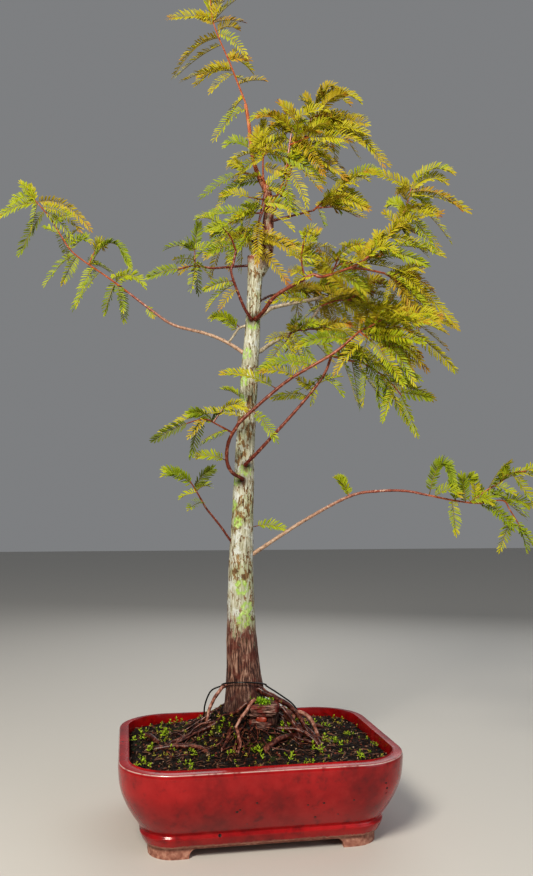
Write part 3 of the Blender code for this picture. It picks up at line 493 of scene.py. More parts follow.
# name: (what it grows from, the height or the share along it, radius at its foot and tip, its course)
BOUGHS = {
    "bough_front_curl": ("trunk", 379, 2.1, 2.0,
        ((13, -98, 13), (19, -131, 22), (16, -133, 60), (22, -58, 78), (24, -19, 59))),
    "bough_front_reach": ("bough_front_curl", 1, 2.0, 1.6,
        ((46, -7, 41), (34, -9, 37), (54, -10, 29), (30, -9, 38))),
    "bough_right_low": ("trunk", 397, 2.1, 1.5,
        ((14, -77, 12), (31, -28, 41), (65, -10, 47), (43, -4, 52), (24, -6, 67))),
    "bough_long_right": ("trunk", 285, 2.4, 1.3,
        ((12, 0, 26), (74, -5, 33), (64, -9, 28), (35, -10, 10), (31, -11, 0), (26, -12, -11))),
    "bough_long_left": ("trunk", 531, 2.3, 1.3,
        ((35, 170, 34), (30, 169, 25), (45, 171, 17), (36, 170, 35), (40, 173, 38))),
    "bough_left_link": ("trunk", 572, 1.5, 1.4, ((16, 176, -12), (10, 174, -50), (9, 172, -55))),
    "bough_left_low": ("trunk", 297, 1.5, 1.2, ((18, -163, 41), (21, -153, 52), (27, -154, 49))),
    "bough_left_up": ("trunk", 576, 1.9, 1.3,
        ((11, -101, 5), (20, -133, 47), (39, -152, 67), (14, 24, 80), (15, 42, 78))),
    "bough_left_side": ("trunk", 648, 1.6, 1.3, ((38, 178, -3), (23, -175, -6), (14, -176, 7))),
    "bough_right_main": ("trunk", 578, 2.5, 2.1,
        ((12, -65, -2), (15, -52, 22), (24, -35, 42), (39, -20, 25), (11, -17, 21))),
    "bough_right_fork": ("bough_right_main", 1, 1.7, 1.4, ((12, -10, -15), (34, 7, 20), (18, 19, 30))),
    "bough_right_outer": ("bough_right_fork", 0.7, 1.4, 1.2, ((22, 34, 8), (27, 22, -4))),
    "bough_cut_upper": ("trunk", 576, 2.3, 2.1, ((20, -14, 33), (16, 16, 29), (60, 12, 14))),
    "bough_cut_mid": ("trunk", 538, 2.5, 1.6,
        ((12, 19, 10), (22, 34, 34), (53, 27, 31), (18, 27, 44), (18, 22, 53))),
    "bough_back": ("trunk", 598, 2.3, 1.5, ((16, 80, 20), (42, 62, 27), (34, 48, 18))),
    "bough_back_left": ("trunk", 668, 1.7, 1.2, ((14, 140, 25), (30, 125, 38), (18, 112, 30))),
    "bough_right_stem": ("trunk", 703, 1.5, 1.2, ((41, -11, 10), (15, -8, 11))),
    "bough_crown_right": ("trunk", 705, 1.4, 1.2, ((31, 16, 62), (51, 18, 70))),
    "bough_crown_mid": ("trunk", 719, 1.3, 1.2, ((31, -36, 50), (20, -39, 71))),
}

# name: (what it grows from, the height or share, length of a frond, angle between a frond and its shoot,
# its shoots: the share of the stem that a shoot leaves from, and its course; the stem comes first)
MASSES = {
    "foliage_leader": ("trunk", 1, 50, 84,
        ((0, ((53, -174, 69), (58, -172, 68), (46, -166, 83))),)),
    "foliage_crown_top": ("bough_crown_right", 1, 58, 56,
        ((0, ((27, 20, 68), (46, 12, 70), (26, 7, 66))),
         (0.42, ((30, -12, 20),)),
         (0.72, ((22, -8, 0), (18, -8, -40))),
         (0.55, ((24, 165, 40),)))),
    "foliage_crown_mid": ("bough_crown_mid", 1, 52, 56,
        ((0, ((19, -53, 75), (24, -47, 77), (18, -20, 71))),
         (0.5, ((26, -25, 10),)),
         (0.1, ((26, 6, 0),)),
         (0.8, ((22, 176, 30),)))),
    "foliage_crown_left": ("trunk", 746, 46, 62,
        ((0, ((16, -107, 50), (20, -89, 66), (18, -39, 71))),
         (0.25, ((22, 180, 16), (14, 184, -10))),
         (0.75, ((24, 170, 30),)))),
    "foliage_trunk_front": ("trunk", 738, 44, 70,
        ((0, ((22, -98, -45), (18, -116, -66), (14, -146, -70))),
         (0.3, ((22, 178, 10),)),
         (0.75, ((24, 176, 0),)),
         (0.1, ((14, -20, -6),)))),
    "foliage_right_stem": ("bough_right_stem", 1, 42, 50,
        ((0, ((15, -10, 40), (19, -8, 39), (27, -5, 39))),
         (0.1, ((20, -8, 0),)))),
    "foliage_left_curl": ("bough_left_up", 1, 38, 70,
        ((0, ((18, 171, 69), (16, 173, 52))),)),
    "foliage_left_side": ("bough_left_side", 1, 36, 76,
        ((0, ((13, -176, 0), (16, -174, -16))),
         (0.3, ((20, -95, 83),)))),
    "foliage_right_spur": ("bough_right_main", 0.9, 26, 66,
        ((0, ((25, -126, 75), (26, -44, 77))),)),
    "foliage_right_inner": ("bough_right_fork", 0.35, 46, 58,
        ((0, ((20, 60, 44), (24, 32, 20), (22, 10, 0))),
         (0.2, ((18, -60, 50),)))),
    "foliage_inner_low": ("bough_cut_mid", 0.5, 46, 34,
        ((0, ((14, -70, 0), (22, -12, 4), (18, 0, -8))),
         (0.2, ((20, -130, -50),)))),
    "foliage_right_top": ("bough_right_fork", 1, 60, 62,
        ((0, ((50, 7, 45), (32, 8, 61), (39, 10, 72))),)),
    "foliage_right_outer": ("bough_right_outer", 1, 48, 36,
        ((0, ((20, 12, -30), (22, 6, -50))),
         (0.2, ((20, -4, 10),)),
         (0.35, ((26, 50, -20),)))),
    "foliage_right_front": ("bough_front_reach", 1, 62, 38,
        ((0, ((14, -30, 30), (26, -14, 6), (24, -5, -12))),
         (0.3, ((22, -50, 14),)),
         (0.5, ((22, 30, 24),)),
         (0.15, ((18, -20, -40),)))),
    "foliage_right_low": ("bough_right_low", 1, 46, 42,
        ((0, ((18, -20, -20), (24, -8, -14), (30, -5, -36), (26, -5, -50))),
         (0.2, ((20, -120, 20),)))),
    "foliage_right_mid": ("bough_cut_mid", 1, 62, 40,
        ((0, ((24, 11, 20), (26, 8, 0), (26, 8, -12))),
         (0.4, ((26, 70, 10),)),
         (0.5, ((26, -30, 24),)))),
    "foliage_back": ("bough_back", 1, 58, 55,
        ((0, ((28, 40, 14), (28, 30, 2), (22, 20, -12))),
         (0.35, ((28, 110, 16),)),
         (0.6, ((26, -30, 24),)))),
    "foliage_back_left": ("bough_back_left", 1, 48, 60,
        ((0, ((26, 120, 24), (24, 140, 4))),
         (0.4, ((24, 60, 22),)))),
    "foliage_long_right": ("bough_long_right", 1, 38, 66,
        ((0, ((28, -9, -12), (28, -8, -7), (27, -4, 7), (14, 0, -52), (26, 0, -60))),
         (0.38, ((24, -3, 35), (20, -3, 31), (14, -6, 41), (18, 0, 9))))),
    "foliage_long_left": ("bough_long_left", 1, 46, 96,
        ((0, ((33, 173, 37), (54, 177, 36), (31, 178, 54), (26, 180, 58), (32, 180, 50))),
         (0.36, ((20, 20, 68),)))),
    "foliage_left_low": ("bough_left_low", 1, 34, 66,
        ((0, ((22, -159, 59), (17, -167, 58))),)),
    "foliage_left_spray": ("bough_front_curl", 0.86, 40, 60,
        ((0, ((19, -166, 27), (14, -171, 26), (12, -175, -3), (13, -175, -17))),
         (0.45, ((20, 15, 55),)))),
}
print("plan:", len(BOUGHS), "boughs and", len(MASSES), "masses of foliage")

# %% Walking along a course


def heading_vector(heading, rise=0):
    turn = math.radians(heading)
    lift = math.radians(rise)
    return Vector((math.cos(turn) * math.cos(lift), math.sin(turn) * math.cos(lift), math.sin(lift)))


def walk(start, course):
    points = [Vector(start)]
    for length, heading, rise in course:
        points.append(points[-1] + heading_vector(heading, rise) * length)
    return points


def taper(points, foot, tip):
    return [foot + (tip - foot) * i / (len(points) - 1) for i in range(len(points))]


def lengths_along(points):
    marks = [0]
    for a, b in zip(points, points[1:]):
        marks.append(marks[-1] + (b - a).length)
    return marks


def at_length(points, wanted):
    """The place and the direction at a length along the line."""
    marks = lengths_along(points)
    for a, b, low, high in zip(points, points[1:], marks, marks[1:]):
        if wanted <= high or high == marks[-1]:
            return a.lerp(b, (wanted - low) / (high - low)), (b - a).normalized()


def at_height(points, height):
    for a, b in zip(points, points[1:]):
        if a.z <= height <= b.z:
            return a.lerp(b, (height - a.z) / (b.z - a.z))


def finer(line, spacing=1.6):
    """The line with a point at each spacing along it."""
    total = lengths_along(line)[-1]
    count = max(4, round(total / spacing))
    return [at_length(line, total * i / count)[0] for i in range(count + 1)]


print("a leg of 10 to the right, rising by 30 degrees:", walk((0, 0, 0), ((10, 0, 30),))[-1])

# %% [markdown]
# ## Limbs
#
# A bough is round and tapers, with a swollen collar where it leaves the trunk and small knots where buds
# were. It could be modelled ring by ring, which is slow for so many of them. A curve does it at once: its
# points carry the radii, a round bevel gives it its thickness, and Convert turns it into a mesh.

# %% A limb from a curve


def limb(name, points, radii, sides=8):
    bpy.ops.object.select_all(action="DESELECT")
    bpy.ops.curve.primitive_nurbs_path_add(radius=1, location=(0, 0, 0))
    path = bpy.context.object
    path.name = name
    path.data.splines.clear()
    spline = path.data.splines.new("POLY")
    spline.points.add(len(points) - 1)
    for target, place, radius in zip(spline.points, points, radii):
        target.co = (*place, 1)
        target.radius = radius
    path.data.bevel_depth = 1
    path.data.bevel_resolution = sides // 2 - 2
    path.data.use_fill_caps = True
    bpy.ops.object.convert(target="MESH")
    return closed(bpy.context.object)


BUD_SWELL = 0.12


def knotted(line, foot, tip, rng, collar=0.0):
    """Radii along a fine line: an even taper, small knots at the buds and a collar at the foot."""
    marks = lengths_along(line)
    buds = [rng.uniform(6, 14)]
    while buds[-1] < marks[-1]:
        buds.append(buds[-1] + rng.uniform(9, 19))
    radii = []
    for mark in marks:
        radius = foot + (tip - foot) * mark / marks[-1]
        nearest = min(abs(mark - bud) for bud in buds)
        radius *= 1 + BUD_SWELL * math.exp(-(nearest / 1.6) ** 2)
        radii.append(radius * (1 + collar * math.exp(-mark / 7)))
    return radii


print("limb sides: 12 for boughs, 6 for shoots")

# %% [markdown]
# ## The trunk
#
# The trunk is about 45 mm thick above the soil, spreads into its roots, and tapers to a healed cut where a
# younger stem took over. It is pulled up like a candle: a filled ring is extruded from station to station and
# resized at each. The young stem and the stump of a cut root are forms of their own, and a voxel remesh makes
# them grow together. The bark's ridges and flakes are real relief, raised by Displace modifiers on noise
# that is stretched along the trunk.

# %% The old trunk, pulled up ring by ring
TRUNK_SIDES = 40
BELOW_SOIL = 6


def spread(values, steps):
    """Values between the stations, to go with smooth()."""
    between = []
    for a, b in zip(values, values[1:]):
        between += [a + (b - a) * step / steps for step in range(steps)]
    return [*between, values[-1]]


def stations(rows, steps):
    points = smooth([Vector((drift, TRUNK_DEPTH, height)) for height, drift, _ in rows], steps)
    return points, spread([row[2] for row in rows], steps)


rings, radii = stations(TRUNK, 5)
rings.insert(0, rings[0] - UP * BELOW_SOIL)
radii.insert(0, radii[0])
bpy.ops.object.select_all(action="DESELECT")
bpy.ops.mesh.primitive_circle_add(vertices=TRUNK_SIDES, radius=radii[0], fill_type="NGON", location=rings[0])
trunk = bpy.context.object
open_mesh(trunk)
bpy.ops.mesh.select_all(action="SELECT")
for before, after, old, new in zip(rings, rings[1:], radii, radii[1:]):
    bpy.ops.mesh.extrude_region_move(TRANSFORM_OT_translate={"value": after - before})
    bpy.ops.transform.resize(value=(new / old, new / old, 1), center_override=after)
closed(trunk)
choose(trunk)
bpy.ops.object.transform_apply(location=True)
print("old trunk:", len(rings), "rings")

# %% Its flared foot
# A resize moves a whole ring, but the real foot spreads in ridges that run out into the roots. So the
# corners below the flare's height are moved one by one, by the solid model's own rule.
FOOT = Vector((TRUNK[0][1], TRUNK_DEPTH, SOIL_FOOT))
for corner in trunk.data.vertices:
    rise = corner.co.z - FOOT.z
    if rise < FLARE_HEIGHT:
        angle = math.atan2(corner.co.y - FOOT.y, corner.co.x - FOOT.x)
        ridge = 1 - RIDGE_SHARE + RIDGE_SHARE * math.cos(FLARE_RIDGES * angle)
        swell = 1 + FLARE * ridge * (1 - max(rise, 0) / FLARE_HEIGHT) ** 2
        corner.co.xy = FOOT.xy + (corner.co.xy - FOOT.xy) * swell
print("widest at the foot:", round(max((corner.co.xy - FOOT.xy).length for corner in trunk.data.vertices), 1))

# %% The young stem and the stump of a cut root
KNOB_AT = Vector((11, 8, 108))
KNOB_SIZE = (18, 15, 15.5)
KNOB_CUT = 0.75
young = limb("young", *stations(YOUNG_TRUNK, 5), 24)
bpy.ops.object.select_all(action="DESELECT")
bpy.ops.mesh.primitive_uv_sphere_add(segments=32, ring_count=20, radius=1, location=KNOB_AT)
knob = bpy.context.object
open_mesh(knob)
bpy.ops.mesh.select_all(action="SELECT")
bpy.ops.transform.resize(value=KNOB_SIZE, center_override=KNOB_AT)
cut_at = KNOB_AT - Vector((0, KNOB_CUT * KNOB_SIZE[1], 0))
bpy.ops.mesh.bisect(plane_co=cut_at, plane_no=(0, 1, 0), use_fill=True, clear_inner=True)
closed(knob)
print("stump of the cut root:", [round(side) for side in knob.dimensions], "mm")

# %% Grown together and given its bark's relief


def raised(piece, name, size, stretch, strength, group=""):
    """Raises a mesh by cloud noise of this size, stretched this much along x, y and z."""
    texture = bpy.data.textures.new(name, "CLOUDS")
    texture.noise_scale = size
    texture.noise_depth = 3
    bpy.ops.object.empty_add(location=(0, 0, 0))
    guide = bpy.context.object
    guide.scale = stretch
    bpy.context.view_layer.update()
    add_modifier(piece, "DISPLACE", texture=texture, texture_coords="OBJECT", texture_coords_object=guide,
                 strength=strength, mid_level=0.5, vertex_group=group)
    bpy.data.objects.remove(guide)


BARK_VOXEL = 1.0
SMOOTH_FROM = 620
SMOOTH_OVER = 130
trunk = join("trunk_bark", [trunk, young, knob])
add_modifier(trunk, "REMESH", mode="VOXEL", voxel_size=BARK_VOXEL)
add_modifier(trunk, "SMOOTH", iterations=3)
rough_share = trunk.vertex_groups.new(name="rough")
for corner in trunk.data.vertices:
    share = 1 - min(max(corner.co.z - SMOOTH_FROM, 0) / SMOOTH_OVER, 0.85)
    rough_share.add([corner.index], share, "REPLACE")
raised(trunk, "plates", 9, (1, 1, 5), 1.6, "rough")
raised(trunk, "fibres", 2.6, (1, 1, 7), 1.1, "rough")
print("trunk:", triangles(trunk), "triangles after the remesh")

# %% [markdown]
# ## The trunk's bark
#
# Old cypress bark: thin grey-green fibrous strips over brown, worn smooth and whitish in patches, with
# vertical brown flecks where strips came off and round lime-green lichens. The lowest part is wet and red-brown
# with no lichen at all. Two boughs leave dark collars. The lichens and collars belong to places on the trunk,
# so they are written on the mesh as attributes; the rest is noise stretched along the trunk.

# %% Lichens and collars, written on the mesh
# heading round the trunk, height and radius of each round lichen
LICHENS = (
    (-84, 254, 6.5), (-76, 218, 6.5), (-60, 231, 5), (-80, 392, 5), (-140, 381, 5), (-118, 330, 4),
    (-88, 572, 6), (-128, 534, 5), (-135, 478, 4), (60, 300, 7), (140, 255, 6), (200, 350, 5), (95, 420, 5),
    (20, 480, 4), (230, 500, 4), (70, 560, 5),
)
LICHEN_RING = 2.3
LICHEN_WARP = 1.7
LICHEN_LOBE = 7.0
COLLARS = ((379, -98), (397, -77), (578, -65), (576, -101))
COLLAR_REACH = 6.5
places = np.empty(len(trunk.data.vertices) * 3, np.float32)
trunk.data.vertices.foreach_get("co", places)
places = places.reshape(-1, 3)


def trunk_line():
    old = [Vector((drift, TRUNK_DEPTH, height)) for height, drift, _ in TRUNK[:-2]]
    return [*old, *[Vector((drift, TRUNK_DEPTH, height)) for height, drift, _ in YOUNG_TRUNK[1:]]]


def trunk_surface(heading, height):
    middle = at_height(trunk_line(), height)
    radius = next(row[2] for row in TRUNK if row[0] >= height)
    return middle + heading_vector(heading) * radius


def write_share(piece, name, values):
    layer = piece.data.attributes.new(name, "FLOAT", "POINT")
    layer.data.foreach_set("value", values.astype(np.float32))


ring_share = np.zeros(len(places))
for heading, height, radius in LICHENS:
    away = np.linalg.norm(places - np.array(trunk_surface(heading, height)), axis=1)
    lobes = np.sin(places[:, 0] * math.tau / LICHEN_LOBE + height) * np.sin(places[:, 2] * math.tau / LICHEN_LOBE)
    away = away + LICHEN_WARP * lobes
    ring = np.exp(-((away - radius) / LICHEN_RING) ** 2)
    ring_share = np.maximum(ring_share, np.maximum(ring, 0.3 * (away < radius)))
collar_share = np.zeros(len(places))
for height, heading in COLLARS:
    away = np.linalg.norm(places - np.array(trunk_surface(heading, height)), axis=1)
    collar_share = np.maximum(collar_share, np.exp(-(away / COLLAR_REACH) ** 2))
write_share(trunk, "lichen", ring_share)
write_share(trunk, "collar", collar_share)
print("lichens:", len(LICHENS), "on", int((ring_share > 0.5).sum()), "corners")

# %% Bark of the trunk
STRIP_MM = 1.9
FLECK_MM = 4.2
PATCH_MM = 15
WET_TO, WET_RAGGED = 0.162, 0.08
SOAKED_FROM = 0.15
YOUNG_FROM, LEADER_FROM = 0.645, 0.742
bark, shader, add = start_material("lichened cypress bark", {"Roughness": 0.85, "IOR": 1.45})
place = add("TexCoord", out="Object")
height = add("SeparateXYZ", {"Vector": place}, "Z")
strips = add("Mapping", {"Vector": place, "Scale": (1, 1, 0.13)})
fibre = add("TexNoise", {"Vector": strips, "Scale": per_metre(STRIP_MM), "Detail": 6, "Roughness": 0.6})
short_strips = add("Mapping", {"Vector": place, "Scale": (1, 1, 0.42)})
fleck = add("TexNoise", {
    "Vector": short_strips, "Scale": per_metre(FLECK_MM), "Detail": 5, "Roughness": 0.68})
patch = add("TexNoise", {"Vector": place, "Scale": per_metre(PATCH_MM), "Detail": 4, "Roughness": 0.6})
large = add("TexNoise", {"Vector": place, "Scale": per_metre(3 * PATCH_MM), "Detail": 2})
# grey-green ground, whitish worn patches, a green film
colour = add("ValToRGB", {"Fac": fibre}, stops=((0.32, "#6E6A52"), (0.45, "#A8A68E"), (0.62, "#C8CABC")))
worn = add("MapRange", {"Value": patch, "From Min": 0.54, "From Max": 0.6, "To Max": 0.75})
colour = add("Mix", {0: worn, 6: colour, 7: linear("#D0D6D2")}, 2, data_type="RGBA")
film = add("MapRange", {"Value": large, "From Min": 0.52, "From Max": 0.6, "To Max": 0.38})
colour = add("Mix", {0: film, 6: colour, 7: linear("#9CA672")}, 2, data_type="RGBA")
# brown flecks, more of them in some parts than in others
share = add("Math", {0: large, 1: 0.35, 2: fleck}, operation="MULTIPLY_ADD")
flecked = add("MapRange", {"Value": share, "From Min": 0.71, "From Max": 0.725, "To Max": 0.95})
brown = add("ValToRGB", {"Fac": fibre}, stops=((0.36, "#3A2412"), (0.48, "#6C4C2C"), (0.62, "#947648")))
colour = add("Mix", {0: flecked, 6: colour, 7: brown}, 2, data_type="RGBA")
# lichens, with a broken edge
broken = add("MapRange", {"Value": fleck, "From Min": 0.4, "From Max": 0.5})
lichen = add("Attribute", out="Fac", attribute_name="lichen")
lichened = add("Math", {0: broken, 1: lichen}, operation="MULTIPLY")
lime = add("ValToRGB", {"Fac": fleck}, stops=((0.4, "#6E9A34"), (0.5, "#97C048"), (0.64, "#C9DC9A")))
# the wet foot, with a ragged upper edge that follows the strips
ragged = add("Math", {0: fibre, 1: -2 * WET_RAGGED, 2: height}, operation="MULTIPLY_ADD")
ragged = add("Math", {0: patch, 1: -WET_RAGGED, 2: ragged}, operation="MULTIPLY_ADD")
wet = add("MapRange", {"Value": ragged, "From Min": WET_TO - 0.066, "From Max": WET_TO - 0.082})
wet_brown = add("ValToRGB", {"Fac": fibre}, stops=(
    (0.36, "#170906"), (0.46, "#482820"), (0.54, "#7C5848"), (0.68, "#B49684")))
reddish = add("MapRange", {"Value": patch, "From Min": 0.5, "From Max": 0.6, "To Max": 0.6})
wet_brown = add("Mix", {0: reddish, 6: wet_brown, 7: linear("#5E2418")}, 2, data_type="RGBA")
soaked = add("MapRange", {"Value": height, "From Min": SOAKED_FROM, "From Max": SOAKED_FROM - 0.03, "To Max": 0.65})
wet_brown = add("Mix", {0: soaked, 6: wet_brown, 7: linear("#2A1210")}, 2, data_type="RGBA")
colour = add("Mix", {0: wet, 6: colour, 7: wet_brown}, 2, data_type="RGBA")
colour = add("Mix", {0: lichened, 6: colour, 7: lime}, 2, data_type="RGBA")
# dark collars, the mottled young stem and the smooth leader
collar = add("Attribute", out="Fac", attribute_name="collar")
colour = add("Mix", {0: collar, 6: colour, 7: linear("#2E1812")}, 2, data_type="RGBA")
young_bark = add("ValToRGB", {"Fac": fleck}, stops=(
    (0.38, "#4E241A"), (0.46, "#82483A"), (0.53, "#A47C68"), (0.64, "#C8BCAA")))
upper = add("Math", {0: patch, 1: 0.05, 2: height}, operation="MULTIPLY_ADD")
young_share = add("MapRange", {"Value": upper, "From Min": YOUNG_FROM + 0.02, "From Max": YOUNG_FROM + 0.04})
colour = add("Mix", {0: young_share, 6: colour, 7: young_bark}, 2, data_type="RGBA")
leader = add("ValToRGB", {"Fac": fibre}, stops=((0.35, "#93452C"), (0.55, "#B9714C"), (0.7, "#D09A70")))
leader_share = add("MapRange", {"Value": height, "From Min": LEADER_FROM, "From Max": LEADER_FROM + 0.02})
colour = add("Mix", {0: leader_share, 6: colour, 7: leader}, 2, data_type="RGBA")
rough = add("MapRange", {"Value": wet, "To Min": 0.85, "To Max": 0.5})
bump = add("Bump", {"Height": fibre, "Strength": 1.0, "Distance": 0.0018}, "Normal")
feed(shader, Base_Color=colour, Roughness=rough, Normal=bump)
print("bark:", len(bark.node_tree.nodes), "nodes")
put(trunk, bark, ["trunk"])

# %% [markdown]
# ## The boughs
#
# Young cypress boughs have a smooth, shining red-brown bark that greys with age and rubs off in pale spots,
# which are partly painted highlights. Each starts inside the trunk with a swollen collar. The oldest, behind
# the trunk, are almost white, and the long one to the left turns from white at the trunk to red at its tip.

# %% Boughs
TIP_STRAIGHT = 1.5  # how far a limb goes on straight from the tip that it follows


class Limb:
    """The line of a limb, which other limbs grow from."""

    def __init__(self, points, radii=None):
        self.points = points
        self.radii = radii

    def start(self, where):
        """The place and direction at a share of the limb, or at a height on the trunk."""
        if where > 1:
            return at_height(self.points, where), None
        return at_length(self.points, where * lengths_along(self.points)[-1])


def limb_line(parent, where, course, steps):
    """The curve of a limb that grows from its parent, with the solid model's own points in it."""
    place, direction = parent.start(where)
    if where != 1:
        return smooth(walk(place, course), steps)
    begin = place + direction * CLEAR
    return [begin, *smooth(walk(begin + direction * TIP_STRAIGHT, course), steps)]


TRUNK_COLLAR = 0.9
BOUGH_COLLAR = 0.25
limbs = {"trunk": Limb(trunk_line())}
boughs = {}
for name, (parent_name, where, foot, tip, course) in BOUGHS.items():
    line = limb_line(limbs[parent_name], where, course, 2)
    limbs[name] = Limb(line, taper(line, foot, tip))
    fine = finer(limb_line(limbs[parent_name], where, course, 8))
    collar = TRUNK_COLLAR if parent_name == "trunk" else BOUGH_COLLAR
    boughs[name] = limb(name, fine, knotted(fine, foot, tip, random.Random(name), collar), 12)
# the link's lower end is grown onto the long bough
link = limbs["bough_left_link"].points
seat = min(limbs["bough_long_left"].points, key=lambda point: (point - link[-1]).length)
line = finer([link[-2].lerp(link[-1], 0.5), link[-1], seat])
seat = limb("link_seat", line, taper(line, 1.35, 1.6), 12)
boughs["bough_left_link"] = join("bough_left_link", [boughs["bough_left_link"], seat])
print("boughs:", len(boughs), "with", sum(triangles(piece) for piece in boughs.values()), "triangles")

# %% Young bark
SPOT_MM = 3.5
PALE_BOUGHS = ("bough_cut_upper", "bough_cut_mid", "bough_left_link")
FADING_BOUGHS = ("bough_long_left", "bough_long_right")
trunk_middle = TO_ROW @ Vector((-8, TRUNK_DEPTH, 0))


def young_bark_of(name, foot, tip, spots, reach, amount, gloss):
    """Smooth bark that turns from one colour at the trunk to another out at the tips, with pale spots that are
    partly rubbed bark and partly painted highlights.
    """
    material, shader, add = start_material(name, {"Roughness": gloss, "IOR": 1.48})
    place = add("TexCoord", out="Object")
    level = add("VectorMath", {0: place, 1: (1, 1, 0)}, operation="MULTIPLY")
    away = add("VectorMath", {0: level, 1: (trunk_middle.x, trunk_middle.y, 0)}, "Value", operation="DISTANCE")
    outside = add("MapRange", {"Value": away, "From Min": reach[0], "From Max": reach[1]})
    height = add("SeparateXYZ", {"Vector": place}, "Z")
    above = add("MapRange", {"Value": height, "From Min": LEADER_FROM - 0.04, "From Max": LEADER_FROM})
    outside = add("Math", {0: outside, 1: above}, operation="MAXIMUM")
    base = add("Mix", {0: outside, 6: linear(foot), 7: linear(tip)}, 2, data_type="RGBA")
    spot = add("TexNoise", {"Vector": place, "Scale": per_metre(SPOT_MM), "Detail": 4, "Roughness": 0.6})
    # pale spots dealt out by noise: partly rubbed bark, partly painted highlights
    rubbed_and_highlight = add("MapRange", {"Value": spot, "From Min": 0.55, "From Max": 0.66, "To Max": amount})
    colour = add("Mix", {0: rubbed_and_highlight, 6: base, 7: linear(spots)}, 2, data_type="RGBA")
    shade = add("MapRange", {"Value": spot, "From Min": 0.46, "From Max": 0.34, "To Max": 0.6})
    colour = add("Mix", {0: shade, 6: colour, 7: linear("#35130D")}, 2, data_type="RGBA")
    bump = add("Bump", {"Height": spot, "Strength": 0.5, "Distance": 0.0004}, "Normal")
    feed(shader, Base_Color=colour, Normal=bump)
    return material


# the fourth colour of each bark is that of its pale spots, which are partly painted highlights
red_bark = young_bark_of("young red cypress bark", "#5E2012", "#A0522E", "#C8947A", (0.02, 0.16), 0.5, 0.36)
fading_bark = young_bark_of("fading cypress bark", "#A88A72", "#86402C", "#D6C8B6", (0.05, 0.15), 0.5, 0.5)
pale_bark = young_bark_of("old pale cypress bark", "#A69A84", "#988672", "#CFC7B4", (0.03, 0.12), 0.7, 0.6)
for title, names, material in (
    ("boughs_pale", PALE_BOUGHS, pale_bark),
    ("boughs_fading", FADING_BOUGHS, fading_bark),
    ("boughs_red", [name for name in BOUGHS if name not in PALE_BOUGHS + FADING_BOUGHS], red_bark),
):
    put(join(title, [boughs[name] for name in names]), material, names)

# %% [markdown]
# ## One needle
#
# A cypress needle is a flat, soft blade, about 12 mm long and 1.5 mm wide, with a narrow foot and a point.
# There are tens of thousands of them, so one is modelled with very few faces and copied. It starts as a
# plane of one unit along x, is bisected twice, gets its point by merging two corners and its bow by a lift.

# %% The needle that all others are copied from
NEEDLE_CUTS = (-0.15, 0.25)
NEEDLE_BOW = 0.07
bpy.ops.mesh.primitive_plane_add(size=1, location=(0.5, 0, 0))
needle = bpy.context.object
needle.name = "needle"
open_mesh(needle)
for cut_at in NEEDLE_CUTS:
    bpy.ops.mesh.select_all(action="SELECT")
    bpy.ops.mesh.bisect(plane_co=(cut_at + 0.5, 0, 0), plane_no=(1, 0, 0))
pick(needle, "VERT", lambda corner: corner.co.x > 0.49)
bpy.ops.mesh.merge(type="CENTER")
pick(needle, "VERT", lambda corner: corner.co.x < -0.49)
bpy.ops.transform.resize(value=(1, 0.45, 1))
pick(needle, "VERT", lambda corner: abs(corner.co.x) < 0.3)
bpy.ops.transform.translate(value=(0, 0, NEEDLE_BOW))
bpy.ops.object.mode_set(mode="OBJECT")
choose(needle)
bpy.ops.object.transform_apply(location=True)
print("one needle:", len(needle.data.vertices), "corners,", triangles(needle), "triangles")

# %% Copies of a small piece as one mesh
# Joining thousands of objects is slow, so the corners of all copies are worked out as arrays and written
# into one mesh.


def mesh_of_copies(name, corners, pattern, corners_each):
    """One mesh from the corners of all copies and the faces of one."""
    corners = np.asarray(corners, np.float32).reshape(-1, 3)
    copies = len(corners) // corners_each
    sizes = np.tile([len(face) for face in pattern], copies)
    flat = np.array([corner for face in pattern for corner in face])
    loops = (flat[None, :] + corners_each * np.arange(copies)[:, None]).ravel()
    mesh = bpy.data.meshes.new(name)
    mesh.vertices.add(len(corners))
    mesh.vertices.foreach_set("co", corners.ravel())
    mesh.loops.add(len(loops))
    mesh.loops.foreach_set("vertex_index", loops.astype(np.int32))
    mesh.polygons.add(len(sizes))
    mesh.polygons.foreach_set("loop_start", np.concatenate([[0], np.cumsum(sizes)[:-1]]).astype(np.int32))
    mesh.update(calc_edges=True)
    made = bpy.data.objects.new(name, mesh)
    scene.collection.objects.link(made)
    return made


def faces_of(piece):
    return [tuple(face.vertices) for face in piece.data.polygons]


def corners_of(piece):
    return np.array([corner.co for corner in piece.data.vertices])


def scattered(name, piece, spots):
    """Copies of a piece, each turned and moved by its own matrix, as one mesh."""
    corners = corners_of(piece)
    placed = [corners @ np.array(spot.to_3x3()).T + np.array(spot.translation) for spot in spots]
    return mesh_of_copies(name, np.concatenate(placed), faces_of(piece), len(corners))


NEEDLE = corners_of(needle)
NEEDLE_FACES = faces_of(needle)
bpy.data.objects.remove(needle)
print("faces of a needle:", NEEDLE_FACES)

# %% [markdown]
# ## A frond
#
# The needles stand in two flat ranks on a stalk that arches over: a frond, like a small fern. Near its foot
# they are short and stand off steeply, and towards its tip they lean forward into a soft brush. Each needle
# is a little longer or shorter, tilted and rolled, as real ones are, so that the light catches each in its
# own way.

# %% Needles and stalk of one frond
NEEDLE_LENGTH = 11.4
NEEDLE_WIDTH = 1.6
NEEDLE_SPACING = 2.4
NEEDLE_FOLD = 0.5  # how far both ranks are raised, like an open book
STALK_SIDES = 3
STALK_RINGS = 9
STALK_FOOT, STALK_TIP = 0.62, 0.28


def along_arch(base, aim, droop, length, t):
    """Places and directions along a frond's arch, for an array of shares of its length."""
    t = np.asarray(t)[:, None]
    base, aim, up = (np.array(v) for v in (base, aim, UP))
    ahead = aim - up * 2 * droop * t
    return base + (aim * t - up * droop * t * t) * length, ahead / np.linalg.norm(ahead, axis=1)[:, None]


